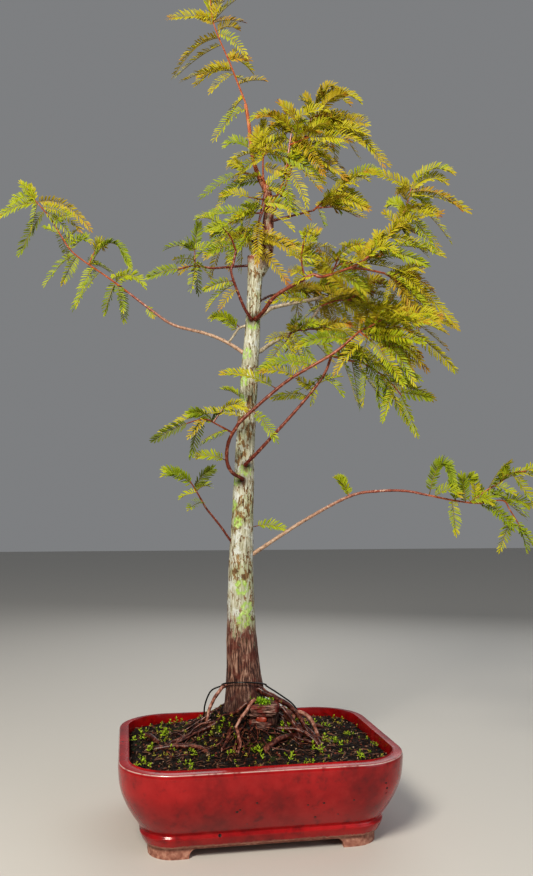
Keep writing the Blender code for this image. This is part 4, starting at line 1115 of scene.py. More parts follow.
def across_and_flat(ahead, facing):
    across = np.cross(ahead, np.array(facing))
    across /= np.linalg.norm(across, axis=1)[:, None]
    return across, np.cross(across, ahead)


def frond_needles(base, aim, facing, length, droop, chance):
    """Corners of the needles of a frond, and the share of the frond's length that each stands at."""
    each_side = max(5, round(length / NEEDLE_SPACING))
    count = 2 * each_side + 1
    side = np.where(np.arange(count) % 2, 1, -1)
    t = np.minimum(0.05 + 0.95 * (np.arange(count) + chance.uniform(-0.4, 0.4, count)) / (count - 1), 1)
    t = np.maximum(t, 0.03)
    long = NEEDLE_LENGTH * np.sin(np.pi * (0.16 + 0.66 * t)) ** 0.65 * chance.uniform(0.82, 1.12, count)
    long *= min(1, 0.6 + length / 110)
    lean = np.radians(64 - 36 * t ** 1.5 + chance.uniform(-6, 6, count))
    lean[-1] = 0
    fold = chance.normal(NEEDLE_FOLD, 0.13, count)
    roll = chance.normal(0, 0.3, count)
    places, ahead = along_arch(base, aim, droop, length, t)
    across, flat = across_and_flat(ahead, facing)
    out = ahead * np.cos(lean)[:, None] + across * (side * np.sin(lean) * np.cos(fold))[:, None]
    out = out + flat * (np.sin(lean) * np.sin(fold))[:, None]
    wide = np.cross(flat, out)
    wide /= np.linalg.norm(wide, axis=1)[:, None]
    thick = np.cross(out, wide)
    wide, thick = (wide * np.cos(roll)[:, None] + thick * np.sin(roll)[:, None],
                   thick * np.cos(roll)[:, None] - wide * np.sin(roll)[:, None])
    corners = places[:, None, :] + out[:, None, :] * (NEEDLE[None, :, :1] * long[:, None, None])
    corners = corners + wide[:, None, :] * (NEEDLE[None, :, 1:2] * NEEDLE_WIDTH)
    return corners + thick[:, None, :] * (NEEDLE[None, :, 2:] * long[:, None, None]), t


def frond_stalk(base, aim, facing, length, droop):
    """Rings of corners along a frond's stalk."""
    rings, ahead = along_arch(base, aim, droop, length, np.linspace(0, 0.98, STALK_RINGS))
    across, flat = across_and_flat(ahead, facing)
    radius = np.linspace(STALK_FOOT, STALK_TIP, STALK_RINGS)[:, None]
    turns = [2 * math.pi * (k + 0.25) / STALK_SIDES for k in range(STALK_SIDES)]
    return np.stack([rings + radius * (across * math.cos(a) + flat * math.sin(a)) for a in turns], axis=1)


stalk_faces = [
    (low, high, high + STALK_SIDES, low + STALK_SIDES)
    for ring in range(STALK_RINGS - 1)
    for low, high in ((ring * STALK_SIDES + k, ring * STALK_SIDES + (k + 1) % STALK_SIDES)
                      for k in range(STALK_SIDES))
]
stalk_faces.append(tuple(reversed(range(STALK_SIDES))))
stalk_faces.append(tuple(range((STALK_RINGS - 1) * STALK_SIDES, STALK_RINGS * STALK_SIDES)))
trial, _ = frond_needles(Vector(), Vector((1, 0, 0)), UP, 60, 0.2, np.random.default_rng(1))
print("a frond of 60 mm has", len(trial), "needles")

# %% [markdown]
# ## Where fronds grow
#
# The solid model deals its fronds out along the shoots by a seeded rule. The same rule is written again here
# with the same seed, so that each frond of the solid gets its needles in its own place. The solid left out
# or shortened some that would have touched a limb: that is read back from it by its nearest face. Between
# the main fronds finer ones are added, which keep to their mass's own space.

# %% The solid model's rule
FROND_SPACING = 18.5
FIRST_FROND = 8
OUTWARD_GAIN = 0.18  # fronds that point away from the trunk grow longer by this share
TIP_LEAN = 14  # the last frond goes on nearly straight from its shoot
LEAN_SPREAD = 13
ROLL_SPREAD = 22
FRONT_EACH = 3
FRONT_ROLL = 46  # how far each third frond turns to the front or back
ALONG_VIEW = 0.3  # a shoot that points this nearly to the front spreads its fronds sideways
STEEPEST = 0.6  # a frond that rises more than this leans over, away from the trunk
LEAN_OVER = 1.8
DROOP = (0.12, 0.34)
RISING_DROOP = 0.5  # a frond that starts upwards arches over by this much more
SIZE_SPREAD = (0.8, 1.12)
FACING_RISE = (0.1, 0.7)
FACING_TURN = 0.4
ALONG_FACING = 0.8  # a frond that points this much to its facing lies flat instead
SHOOT_FOOT = 1.25
SHOOT_TIP = 0.8
SIDE_SHOOT = 0.9  # how thick a side shoot's foot is next to the stem's

# name: (what it grows from, the height or share, heading, rise, length of its one frond)
SPRIGS = {
    "sprig_trunk": ("trunk", 322, 0, 12, 32),
    "sprig_long_right": ("bough_long_right", 0.62, 150, 68, 27),
    "sprig_front_curl": ("bough_front_curl", 0.5, 172, 24, 34),
    "sprig_front_hanging": ("bough_front_reach", 0.13, -30, -38, 36),
    "sprig_front_across": ("bough_front_reach", 0.36, 178, 32, 70),
    "sprig_left_up": ("bough_left_up", 0.62, 186, -4, 30),
    "sprig_left_link": ("bough_left_link", 0.45, 178, 40, 34),
}
TRUNK_STALK = 20
BOUGH_STALK = 6
STALK_RADIUS = 0.85
SUNK = 2  # how deep a frond's foot sits in its shoot
SPRIG_FACING = 0.4
SPRIG_DROOP = 0.3


def frond_rule(shoot, length, lean, rng):
    """Where fronds leave a shoot: to one side and the other, with each third one to the front or back."""
    total = lengths_along(shoot)[-1]
    count = max(1, round((total - FIRST_FROND) / FROND_SPACING))
    fronds = []
    for i in range(count + 1):
        at_tip = i == count
        along = total - SUNK if at_tip else FIRST_FROND + (total - FIRST_FROND) * i / count
        place, direction = at_length(shoot, along)
        spread_axis = direction.cross(FRONT)
        if spread_axis.length < ALONG_VIEW:
            spread_axis = direction.cross(UP)
        spread_axis.normalize()
        roll = rng.gauss(0, ROLL_SPREAD) + (0 if i % FRONT_EACH else FRONT_ROLL * rng.choice((-1, 1)))
        angle = TIP_LEAN if at_tip else lean + rng.uniform(-LEAN_SPREAD, LEAN_SPREAD)
        side = 1 if i % 2 else -1
        out = Matrix.Rotation(math.radians(roll), 3, direction) @ spread_axis * side
        fronds.append(settled(place, direction, out, angle, length * 1.0, rng, SIZE_SPREAD))
    return fronds


def settled(place, direction, out, angle, length, rng, sizes):
    """One frond: it leans over where it rises steeply, turns its flat side to the light and droops."""
    aim = (direction * math.cos(math.radians(angle)) + out * math.sin(math.radians(angle))).normalized()
    outward = Vector((place.x - TRUNK[0][1], place.y - TRUNK_DEPTH, 0)).normalized()
    if aim.z > STEEPEST:
        aim = (aim + outward * (aim.z - STEEPEST) * LEAN_OVER).normalized()
    turn = rng.uniform(-FACING_TURN, FACING_TURN)
    facing = (FRONT + UP * rng.uniform(*FACING_RISE) + Vector((turn, 0, 0))).normalized()
    if abs(aim.dot(facing)) > ALONG_FACING:
        facing = UP.copy()
    size = length * rng.uniform(*sizes) * (1 + OUTWARD_GAIN * aim.dot(outward))
    return place, aim, facing, size, rng.uniform(*DROOP) + RISING_DROOP * max(aim.z, 0)


print("frond rule: a frond each", FROND_SPACING, "mm of a shoot")

# %% What the solid kept of it, and finer fronds between
ON_SOLID = 1.6
EXTRA_A_GAP = 2.4
EXTRA_IN_AIRY = 0.0
AIRY = ("foliage_leader", "foliage_long_left", "foliage_long_right", "foliage_left_low", "foliage_left_spray",
        "foliage_left_curl", "foliage_left_side", "foliage_crown_left", "foliage_trunk_front")
EXTRA_SIZE = (0.55, 0.95)
EXTRA_ROLL = 42
EXTRA_LEAN = (38, 76)
NEEDLE_ROOM = 6
LIMB_ROOM = 3.5


def solid_tree(name):
    """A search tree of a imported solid, in the tree's frame."""
    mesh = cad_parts[name].data
    corners = [FROM_ROW @ vertex.co for vertex in mesh.vertices]
    return BVHTree.FromPolygons(corners, [list(face.vertices) for face in mesh.polygons])


def length_in(solid, base, aim, droop, size):
    """The length that the solid gave a frond, or 0 where it left the frond out."""
    for shrink in (1, 0.8, 0.62):
        reach = size * shrink
        places = [base + (aim * t - UP * droop * t * t) * reach for t in (0.5, 0.75, 0.97)]
        if all(solid.find_nearest(place)[3] < ON_SOLID for place in places):
            return reach
    return 0


def extra_fronds(shoot, length, a_gap, rng):
    total = lengths_along(shoot)[-1]
    count = round(total / FROND_SPACING * a_gap)
    fronds = []
    for i in range(count):
        place, direction = at_length(shoot, 4 + (total - 6) * (i + rng.uniform(0.2, 0.8)) / count)
        spread_axis = direction.cross(FRONT)
        if spread_axis.length < ALONG_VIEW:
            spread_axis = direction.cross(UP)
        turn = Matrix.Rotation(math.radians(rng.gauss(0, EXTRA_ROLL)), 3, direction)
        out = turn @ spread_axis.normalized() * (1 if i % 2 else -1)
        fronds.append(settled(place, direction, out, rng.uniform(*EXTRA_LEAN), length, rng, EXTRA_SIZE))
    return fronds


def solid_box(name):
    corners = np.array([FROM_ROW @ vertex.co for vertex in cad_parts[name].data.vertices])
    return corners.min(axis=0) - NEEDLE_ROOM, corners.max(axis=0) + NEEDLE_ROOM


wood = [solid_tree(name) for name in ["trunk", *BOUGHS]]


def fits(base, aim, droop, size, low, high):
    """Whether an extra frond keeps inside its mass's box and clear of the limbs."""
    places, _ = along_arch(base, aim, droop, size, np.linspace(0.2, 1, 6))
    if (places < low).any() or (places > high).any():
        return False
    return all(tree.find_nearest(Vector(place), LIMB_ROOM)[0] is None for place in places[1:] for tree in wood)


print("search trees of", len(wood), "limbs are ready")

# %% [markdown]
# ## Autumn tints
#
# The needles turn from deep green over lime and yellow to gold and rust. The low and left masses are still
# green, the crown and the right are golden, and rust starts at the tips. Each tint is a plain colour of its
# own, and a needle is given the tint of its mass, changed a little by chance for its frond and for itself.

# %% Tints
TINTS = {
    "deep green": "#5E680E", "green": "#7C8C10", "lime": "#949E12", "yellow": "#A6A016", "olive gold": "#A2901A",
    "gold": "#A07A1A", "amber": "#8E581E", "rust": "#6C3818",
}
# how far autumn has come in each mass, as a place in the row of tints
AUTUMN = {
    "foliage_leader": 3.0, "foliage_crown_top": 3.5, "foliage_crown_mid": 3.3, "foliage_crown_left": 2.5,
    "foliage_trunk_front": 2.2, "foliage_right_stem": 3.0, "foliage_left_curl": 1.7,
    "foliage_left_side": 1.6, "foliage_right_spur": 3.2, "foliage_right_inner": 3.2,
    "foliage_inner_low": 2.5, "foliage_right_top": 3.1, "foliage_right_outer": 3.7,
    "foliage_right_front": 3.0, "foliage_right_low": 1.7, "foliage_right_mid": 3.4, "foliage_back": 3.2,
    "foliage_back_left": 2.5, "foliage_long_right": 1.8, "foliage_long_left": 1.8, "foliage_left_low": 0.8,
    "foliage_left_spray": 1.6,
}
FROND_CHANCE = 0.7
NEEDLE_CHANCE = 0.22
TIP_AUTUMN = (-0.5, 2.4)
TIP_FROM = 0.78
FACING_CHANCE = 0.6
needles = {tint: [] for tint in TINTS}
stalks = []


def add_frond(frond, autumn, rng, chance):
    """Adds a frond's needles, each to the needles of its tint, and its stalk."""
    base, aim, facing, length, droop = frond
    facing = Matrix.Rotation(rng.gauss(0, FACING_CHANCE), 3, aim) @ facing
    frond = (base, aim, facing, length, droop)
    corners, share = frond_needles(*frond, chance)
    turned = autumn + rng.gauss(0, FROND_CHANCE) + chance.normal(0, NEEDLE_CHANCE, len(share))
    turned += rng.uniform(*TIP_AUTUMN) * np.maximum(share - TIP_FROM, 0) / (1 - TIP_FROM)
    place = np.clip(np.round(turned), 0, len(TINTS) - 1)
    for i, tint in enumerate(TINTS):
        needles[tint].append(corners[place == i])
    stalks.append(frond_stalk(*frond))


print("tints:", ", ".join(TINTS))

# %% All the foliage
shoots = []
shoot_lines = []
for name, (parent_name, where, length, lean, courses) in MASSES.items():
    rng = random.Random(f"{SEED} {name}")
    more = random.Random(f"extra {name}")
    chance = np.random.default_rng(len(name) + 17 * len(stalks))
    solid = solid_tree(name)
    low, high = solid_box(name)
    stem = limb_line(limbs[parent_name], where, courses[0][1], 2)
    lines = [(stem, limb_line(limbs[parent_name], where, courses[0][1], 8), SHOOT_FOOT)]
    for share, course in courses[1:]:
        place, _ = at_length(stem, share * lengths_along(stem)[-1])
        lines.append((smooth(walk(place, course), 2), smooth(walk(place, course), 8), SHOOT_FOOT * SIDE_SHOOT))
    for line, fine, foot in lines:
        fine = finer(fine)
        shoot_lines.append(fine)
        shoots.append(limb("shoot", fine, knotted(fine, foot, SHOOT_TIP * 0.8, more), 6))
        for base, aim, facing, size, droop in frond_rule(line, length, lean, rng):
            reach = length_in(solid, base, aim, droop, size)
            if reach:
                add_frond((base, aim, facing, reach, droop), AUTUMN[name], more, chance)
        for frond in extra_fronds(line, length, EXTRA_IN_AIRY if name in AIRY else EXTRA_A_GAP, more):
            base, aim, facing, size, droop = frond
            if fits(base, aim, droop, size, low, high):
                add_frond(frond, AUTUMN[name], more, chance)
print("fronds:", len(stalks), "on", len(shoots), "shoots")

# %% [markdown]
# ## Fronds that the photo shows one by one
#
# A rule by chance gives the right fullness, but the long fronds at the edge of the crown, which give the tree
# its outline, stand in places of their own. For these the place where each leaves its shoot and the place of
# its tip were read off the photograph. The camera says along which line each spot lies; the shoot that
# passes nearest to this line carries the frond, and the depth of the tip is left to chance.

# %% From a spot of the photo to a place on the tree
PHOTO_MIDDLE = (266.5, 438)
DEPTH_CHANCE = 0.16
camera_turn = Euler((math.pi / 2 + CAMERA_RISE, 0, CAMERA_PAN)).to_matrix()


def sight(across, down):
    """The direction in which the camera sees a spot of the photo."""
    return (camera_turn @ Vector((across - PHOTO_MIDDLE[0], PHOTO_MIDDLE[1] - down, -FOCAL_PX))).normalized()


def seen_at(across, down, depth):
    """The place at this depth in the tree's frame that the camera sees at a spot."""
    line = sight(across, down)
    return CAMERA_AT + line * ((depth - CAMERA_AT.y) / line.y)


def nearest_wood(across, down):
    """The point of the shoots and boughs that the camera sees nearest to a spot."""
    line = sight(across, down)
    away = wood_points - np.array(CAMERA_AT)
    along = away @ np.array(line)
    return Vector(wood_points[np.argmin(np.linalg.norm(away - along[:, None] * np.array(line), axis=1))])


def arched(base, tip, droop):
    """The aim and the length of a frond with this droop that ends at the tip."""
    way = tip - base
    share = (-droop * way.z + math.sqrt(
        (droop * way.z) ** 2 + way.length_squared * (1 - droop ** 2))) / way.length_squared
    return (way * share + UP * droop).normalized(), 1 / share


# a shoot that rises in front of the young stem: across and down the photo, and its depth
FRONT_SHOOT = ((254, 256, 27), (256, 243, 18), (258, 225, 13), (262, 206, 12), (266, 184, 17))
line = finer(smooth([seen_at(*spot) for spot in FRONT_SHOOT], 6))
shoots.append(limb("shoot", line, knotted(line, 1.1, 0.7, random.Random("front")), 6))
shoot_lines.append(line)
wood_points = np.array([point for limb_of in limbs.values() for point in finer(limb_of.points, 3)]
                       + [point for line in shoot_lines for point in line])
print("the camera sees the knob near", nearest_wood(263, 711))

# %% Their places
# across and down the photo at the foot and at the tip, droop, how far autumn has come
SEEN_FRONDS = (
    # the leader
    (213, 39, 174, 76, 0.8, 3.6), (215, 40, 181, 61, 0.5, 3.4), (216, 35, 246, 56, 0.8, 2.8),
    (208, 24, 242, 22, 0.3, 4.2), (210, 22, 236, 0, 0.2, 2.4), (208, 24, 204, -10, 0.1, 3.2),
    (209, 26, 199, 16, 0.3, 4.8), (210, 20, 226, -6, 0.2, 3.0), (228, 61, 249, 60, 0.3, 4.6),
    (229, 62, 236, 51, 0.1, 4.2), (229, 69, 197, 84, 0.6, 3.6), (229, 70, 200, 76, 0.5, 3.4),
    (231, 75, 211, 92, 0.4, 3.2), (232, 79, 245, 81, 0.4, 3.0), (243, 108, 215, 139, 0.6, 3.0),
    # the crown
    (322, 113, 383, 164, 0.75, 2.6), (320, 118, 372, 150, 0.6, 3.8), (322, 112, 358, 157, 0.5, 4.4),
    (322, 105, 349, 104, 0.7, 2.8), (318, 108, 328, 88, 0.2, 3.0), (315, 112, 306, 95, 0.1, 3.4),
    (300, 120, 280, 104, 0.3, 3.8), (290, 130, 258, 118, 0.5, 3.2), (296, 132, 275, 118, 0.2, 4.0),
    (285, 150, 324, 183, 0.7, 3.0), (283, 140, 330, 160, 0.6, 2.8), (292, 150, 345, 178, 0.5, 4.4),
    (280, 165, 307, 205, 0.5, 2.8), (284, 172, 290, 212, 0.4, 2.6), (270, 150, 250, 138, 0.3, 2.6),
    (268, 160, 237, 178, 0.8, 2.2), (266, 176, 217, 210, 0.8, 1.8), (262, 182, 222, 196, 0.5, 2.2),
    (264, 190, 246, 232, 0.4, 2.8), (265, 186, 292, 198, 0.4, 2.8), (263, 203, 296, 212, 0.5, 2.6),
    (261, 211, 292, 229, 0.5, 2.4), (262, 205, 224, 240, 0.4, 1.6), (258, 215, 214, 232, 0.3, 1.6),
    (255, 225, 232, 262, 0.4, 1.8), (264, 222, 240, 248, 0.5, 2.6), (257, 236, 305, 262, 0.4, 3.2),
    (257, 234, 292, 246, 0.4, 3.4), (336, 192, 364, 205, 0.6, 3.6), (322, 208, 349, 205, 0.3, 4.0),
    (318, 212, 324, 224, 0.2, 2.8), (265, 188, 308, 217, 0.4, 2.6), (257, 240, 310, 252, 0.3, 3.0),
    (255, 249, 287, 282, 0.4, 2.6), (256, 212, 232, 222, 0.4, 2.4), (254, 240, 233, 236, 0.2, 2.4),
    (270, 160, 257, 130, 0.1, 2.8), (270, 158, 264, 122, 0.1, 2.6), (271, 156, 284, 142, 0.2, 2.8),
    (270, 162, 252, 148, 0.2, 3.0), (271, 158, 322, 180, 0.6, 2.6), (268, 186, 286, 172, 0.1, 2.6),
    (272, 166, 288, 176, 0.3, 3.2), (276, 170, 296, 156, 0.2, 3.4),
    # the upper right
    (408, 190, 445, 182, 0.6, 3.2), (406, 192, 459, 208, 0.6, 3.0), (404, 200, 449, 240, 0.6, 2.8),
    (402, 208, 434, 250, 0.5, 2.6), (400, 215, 437, 247, 0.4, 3.0), (388, 238, 426, 255, 0.7, 3.0),
    (386, 239, 369, 250, 0.6, 3.0), (396, 225, 385, 214, 0.2, 3.2), (404, 185, 368, 172, 0.1, 2.4),
    # the large mass on the right
    (368, 266, 344, 246, 0.3, 2.8), (364, 268, 358, 246, 0.1, 4.2), (372, 265, 402, 258, 0.4, 2.8),
    (398, 258, 431, 290, 0.5, 4.0), (400, 262, 432, 308, 0.4, 3.6), (384, 272, 432, 316, 0.6, 3.4),
    (380, 284, 457, 327, 0.5, 2.8), (385, 306, 446, 348, 0.4, 2.8), (384, 300, 452, 326, 0.4, 3.0),
    (368, 322, 421, 362, 0.6, 2.8), (370, 326, 414, 383, 0.6, 1.8), (345, 348, 385, 372, 0.4, 2.4),
    (346, 350, 405, 383, 0.5, 2.0), (362, 368, 407, 420, 0.5, 1.4), (350, 366, 396, 372, 0.4, 2.6),
    (333, 384, 306, 392, 0.4, 2.2), (335, 382, 342, 394, 0.3, 1.8), (306, 357, 261, 370, 0.5, 2.2),
    (320, 330, 283, 336, 0.4, 3.0), (310, 307, 270, 303, 0.4, 2.8), (345, 300, 310, 290, 0.3, 3.2),
    (350, 290, 318, 268, 0.2, 3.0), (355, 310, 400, 318, 0.4, 2.8), (350, 320, 388, 345, 0.5, 2.6),
    (300, 258, 318, 232, 0.1, 3.6), (314, 254, 330, 247, 0.3, 3.4), (308, 320, 330, 344, 0.4, 3.0),
    (345, 335, 300, 345, 0.4, 2.6), (360, 345, 336, 372, 0.4, 2.2), (372, 330, 402, 362, 0.4, 2.6),
    (318, 262, 350, 280, 0.4, 2.8), (325, 285, 352, 305, 0.4, 2.6), (316, 268, 296, 282, 0.4, 2.8),
    (330, 300, 305, 318, 0.4, 2.6), (312, 290, 332, 312, 0.5, 3.0), (345, 262, 372, 284, 0.5, 3.2),
    (322, 388, 296, 392, 0.3, 2.2), (322, 387, 339, 377, 0.2, 1.8), (318, 391, 311, 403, 0.3, 2.4),
    (315, 392, 299, 380, 0.2, 2.6), (300, 384, 264, 372, 0.4, 2.0), (303, 392, 275, 397, 0.4, 2.2),
    # left of the trunk
    (191, 261, 198, 292, 0.3, 1.4), (192, 262, 211, 279, 0.4, 1.4), (188, 262, 180, 273, 0.4, 3.0),
    (190, 250, 198, 224, 0.1, 1.2), (191, 250, 167, 249, 0.5, 1.4), (192, 250, 214, 250, 0.5, 1.4),
    (238, 284, 209, 307, 0.6, 2.2), (236, 290, 221, 308, 0.5, 2.4), (237, 330, 213, 319, 0.6, 2.0),
    (240, 414, 163, 432, 0.5, 1.8), (236, 405, 224, 390, 0.4, 2.0), (206, 418, 190, 436, 0.3, 3.0),
    (196, 482, 166, 470, 0.3, 0.8), (200, 490, 181, 498, 0.4, 1.2), (196, 486, 212, 470, 0.4, 0.6),
    # the long bough to the left
    (41, 201, 0, 217, 0.5, 2.8), (41, 198, 90, 229, 0.8, 4.0), (41, 208, 80, 230, 0.6, 3.0),
    (45, 212, 71, 236, 0.5, 2.4), (33, 198, 22, 184, 0.1, 2.2), (34, 200, 30, 187, 0.1, 2.8),
    (33, 206, 32, 228, 0.2, 2.2), (40, 200, 24, 206, 0.2, 2.4), (75, 254, 46, 284, 0.6, 1.8),
    (70, 249, 87, 236, 0.1, 2.2), (91, 264, 130, 266, 0.92, 1.6), (92, 268, 77, 305, 0.5, 1.6),
    (115, 283, 144, 286, 0.85, 1.8), (114, 284, 105, 312, 0.4, 1.4), (116, 285, 123, 310, 0.3, 1.4),
    (148, 307, 153, 316, 0.2, 2.0), (57, 237, 45, 228, 0.1, 2.8), (62, 243, 75, 232, 0.1, 3.0),
    # the long bough to the right
    (430, 494, 455, 486, 0.9, 1.4), (454, 499, 472, 476, 0.4, 1.8), (456, 499, 451, 482, 0.3, 1.6),
    (466, 500, 462, 476, 0.2, 1.4), (476, 500, 474, 478, 0.2, 2.2), (480, 501, 502, 496, 0.5, 2.2),
    (487, 488, 508, 462, 0.3, 1.6), (492, 484, 513, 493, 0.4, 1.8), (500, 480, 506, 468, 0.2, 2.6),
    (511, 473, 545, 478, 0.3, 1.8), (478, 504, 511, 528, 0.4, 1.4), (507, 501, 526, 514, 0.5, 1.4),
    (527, 517, 521, 533, 0.3, 1.6), (530, 520, 527, 550, 0.3, 1.4), (496, 486, 518, 474, 0.2, 1.8),
    (344, 490, 337, 479, 0.4, 1.6),
)
rng = random.Random("seen")
chance = np.random.default_rng(SEED)
for across, down, tip_across, tip_down, droop, autumn in SEEN_FRONDS:
    base = nearest_wood(across, down)
    span = math.hypot(tip_across - across, tip_down - down)
    depth = base.y + rng.gauss(-0.06, DEPTH_CHANCE) * span
    aim, length = arched(base, seen_at(tip_across, tip_down, depth), droop)
    facing = (FRONT + UP * rng.uniform(0.2, 1.2)).normalized()
    if abs(aim.dot(facing)) > ALONG_FACING:
        facing = FRONT.copy()
    add_frond((base, aim, facing, length, droop), autumn, rng, chance)
print("fronds read off the photo:", len(SEEN_FRONDS))

# %% The lone fronds on the trunk and the boughs
for name, (parent_name, where, heading, rise, length) in SPRIGS.items():
    rng = random.Random(name)
    place, _ = limbs[parent_name].start(where)
    aim = heading_vector(heading, rise)
    end = place + aim * (TRUNK_STALK if parent_name == "trunk" else BOUGH_STALK)
    line = finer([place, end])
    shoots.append(limb("stalk", line, taper(line, STALK_RADIUS, STALK_TIP * 2), 6))
    facing = (FRONT + UP * SPRIG_FACING).normalized()
    add_frond((end - aim * SUNK, aim, facing, length, SPRIG_DROOP), 2, rng, np.random.default_rng(len(stalks)))
print("needles:", {tint: sum(map(len, needles[tint])) for tint in TINTS})

# %% [markdown]
# ## The needles' finish
#
# A cypress needle has a thin, slightly waxy skin: a soft sheen with a broad highlight, no pattern that could
# be seen from half a metre. So each tint is a plain colour with a medium roughness. The stalks are yellow
# green with a touch of brown, and the shoots have the boughs' young red bark.

# %% Needles, stalks and shoots are finished
leaf_nodes = nodes_named("foliage") + nodes_named("sprig")
for tint, colour in TINTS.items():
    skin, _, _ = start_material("cypress needle, " + tint, {
        "Base Color": linear(colour), "Roughness": 0.62, "IOR": 1.4})
    made = mesh_of_copies("needles_" + tint.replace(" ", "_"), np.concatenate(needles[tint]), NEEDLE_FACES, 7)
    put(made, skin, leaf_nodes, sharp=180)
stalk_skin, _, _ = start_material("cypress frond stalk", {"Base Color": linear("#8C7A2A"), "Roughness": 0.5})
made = mesh_of_copies("frond_stalks", np.concatenate(stalks), stalk_faces, STALK_RINGS * STALK_SIDES)
put(made, stalk_skin, sharp=180)
put(join("shoots", shoots), red_bark)

# %% [markdown]
# ## The soil
#
# Dark, damp potting soil lies level with the rim and rises to a mound round the trunk. A copy of the solid
# soil, with the grooves that the roots lie in, is remeshed into small even faces and raised twice, in lumps
# and in crumbs. Noise alone looks like felt, so real crumbs, grit, bits of bark and fallen needles are
# scattered over it: each is modelled once, in a few faces, and dealt out by chance.

# %% The surface
SOIL_VOXEL = 1.7
MOUND_AT = Vector((-6, 42, 0))
MOUND_WIDTH = 46
MOUND_FLAT = 22
SOIL_SKIN = 12


def soil_height(place):
    away = (Vector(place).xy - MOUND_AT.xy).length
    return SOIL_EDGE + (SOIL_FOOT - SOIL_EDGE) * math.exp(-(max(away - MOUND_FLAT, 0) / MOUND_WIDTH) ** 2)


soil = bpy.data.objects.new("soil_surface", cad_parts["soil"].data.copy())
scene.collection.objects.link(soil)
soil.data.transform(FROM_ROW)
closed(soil)
add_modifier(soil, "REMESH", mode="VOXEL", voxel_size=SOIL_VOXEL)
open_mesh(soil)
bpy.ops.mesh.select_all(action="SELECT")
bpy.ops.mesh.bisect(plane_co=(0, 0, SOIL_EDGE - SOIL_SKIN), plane_no=(0, 0, 1), use_fill=True, clear_inner=True)
closed(soil)
raised(soil, "lumps", 8, (1, 1, 1), 4.6)
raised(soil, "crumbs", 2.6, (1, 1, 1), 4)
surface = BVHTree.FromPolygons(
    [corner.co for corner in soil.data.vertices], [list(face.vertices) for face in soil.data.polygons])
print("soil surface:", triangles(soil), "triangles")

# %% Spots on the soil
POT_TO_TREE = Matrix.Rotation(-TREE_TURN, 3, "Z")
RIM_ROOM = 13.5
TRUNK_ROOM = 23


def on_soil(x, y):
    """The place and the slope of the soil below a spot, or nothing where the trunk stands."""
    place, slope, _, _ = surface.ray_cast(Vector((x, y, 200)), -UP)
    if place is None or (place.xy - FOOT.xy).length < TRUNK_ROOM:
        return None, None
    return place, slope


def spots_on_soil(count, sizes, flat, rng, lift=0.0):
    """Matrices that set a small piece of unit size on the soil, turned by chance."""
    spots = []
    while len(spots) < count:
        spot = Vector((rng.uniform(-0.5, 0.5) * POT_LENGTH, rng.uniform(-0.5, 0.5) * POT_DEPTH, 0))
        if stands_in(spot) < RIM_ROOM:
            continue
        place, slope = on_soil(*(POT_TO_TREE @ spot).xy)
        if place is None:
            continue
        upright = slope.lerp(UP, 0.5).to_track_quat("Z", "Y").to_matrix().to_4x4()
        turn = Matrix.Rotation(rng.uniform(0, math.tau), 4, "Z") @ Matrix.Rotation(rng.gauss(0, flat), 4, "X")
        size = rng.uniform(*sizes)
        spots.append(Matrix.Translation(place + UP * lift) @ upright @ turn @ Matrix.Scale(size, 4))
    return spots


rng = random.Random(SEED)
print("a spot on the soil:", spots_on_soil(1, (1, 1), 0, rng)[0].translation)

# %% Crumbs and grit
bpy.ops.mesh.primitive_ico_sphere_add(subdivisions=1, radius=0.5, location=(0, 0, 0))
crumb = bpy.context.object
open_mesh(crumb)
bpy.ops.mesh.select_all(action="SELECT")
bpy.ops.transform.resize(value=(1, 0.8, 0.65))
bpy.ops.transform.vertex_random(offset=0.14, seed=4)
closed(crumb)
crumbs = scattered("soil_crumbs", crumb, spots_on_soil(1300, (1.6, 6), 1.2, rng))
grit = scattered("soil_grit", crumb, spots_on_soil(260, (1.4, 3.2), 1.2, rng, 0.5))
bits = scattered("bark_bits", crumb, spots_on_soil(300, (1.6, 3.8), 1.2, rng, 0.5))
print("crumbs, grit and bits:", sum(triangles(piece) for piece in (crumbs, grit, bits)), "triangles")

# %% Soil finishes
CRUMB_MM = 3
earth, shader, add = start_material("damp potting soil", {"Roughness": 0.9, "IOR": 1.33})
place = add("TexCoord", out="Object")
grains = add("TexNoise", {"Vector": place, "Scale": per_metre(CRUMB_MM), "Detail": 6, "Roughness": 0.7})
moss = add("TexNoise", {"Vector": place, "Scale": per_metre(22), "Detail": 3})
colour = add("ValToRGB", {"Fac": grains}, stops=(
    (0.42, "#020000"), (0.52, "#120602"), (0.6, "#3C200E"), (0.7, "#86603A")))
mossy = add("ValToRGB", {"Fac": grains}, stops=((0.42, "#0D1204"), (0.55, "#30400A"), (0.7, "#748A1C")))
share = add("MapRange", {"Value": moss, "From Min": 0.6, "From Max": 0.7, "To Max": 0.8})
colour = add("Mix", {0: share, 6: colour, 7: mossy}, 2, data_type="RGBA")
bump = add("Bump", {"Height": grains, "Strength": 1.0, "Distance": 0.0015}, "Normal")
feed(shader, Base_Color=colour, Normal=bump)
wet_crumb, _, _ = start_material("soil crumb", {"Base Color": linear("#0E0603"), "Roughness": 0.8})
pale_grit, _, _ = start_material("pumice grit", {"Base Color": linear("#A08A70"), "Roughness": 0.85})
rust_bit, _, _ = start_material("pine bark bit", {"Base Color": linear("#6A2E1A"), "Roughness": 0.75})
put(soil, earth, ["soil"], sharp=60)
put(crumbs, wet_crumb)
put(grit, pale_grit)
put(bits, rust_bit)

# %% [markdown]
# Watering throws soil at the wall of a pot, where it dries as flat specks. A speck is a crumb pressed
# flat against the wall, at the spots where the camera sees one, so it stands proud and catches light.

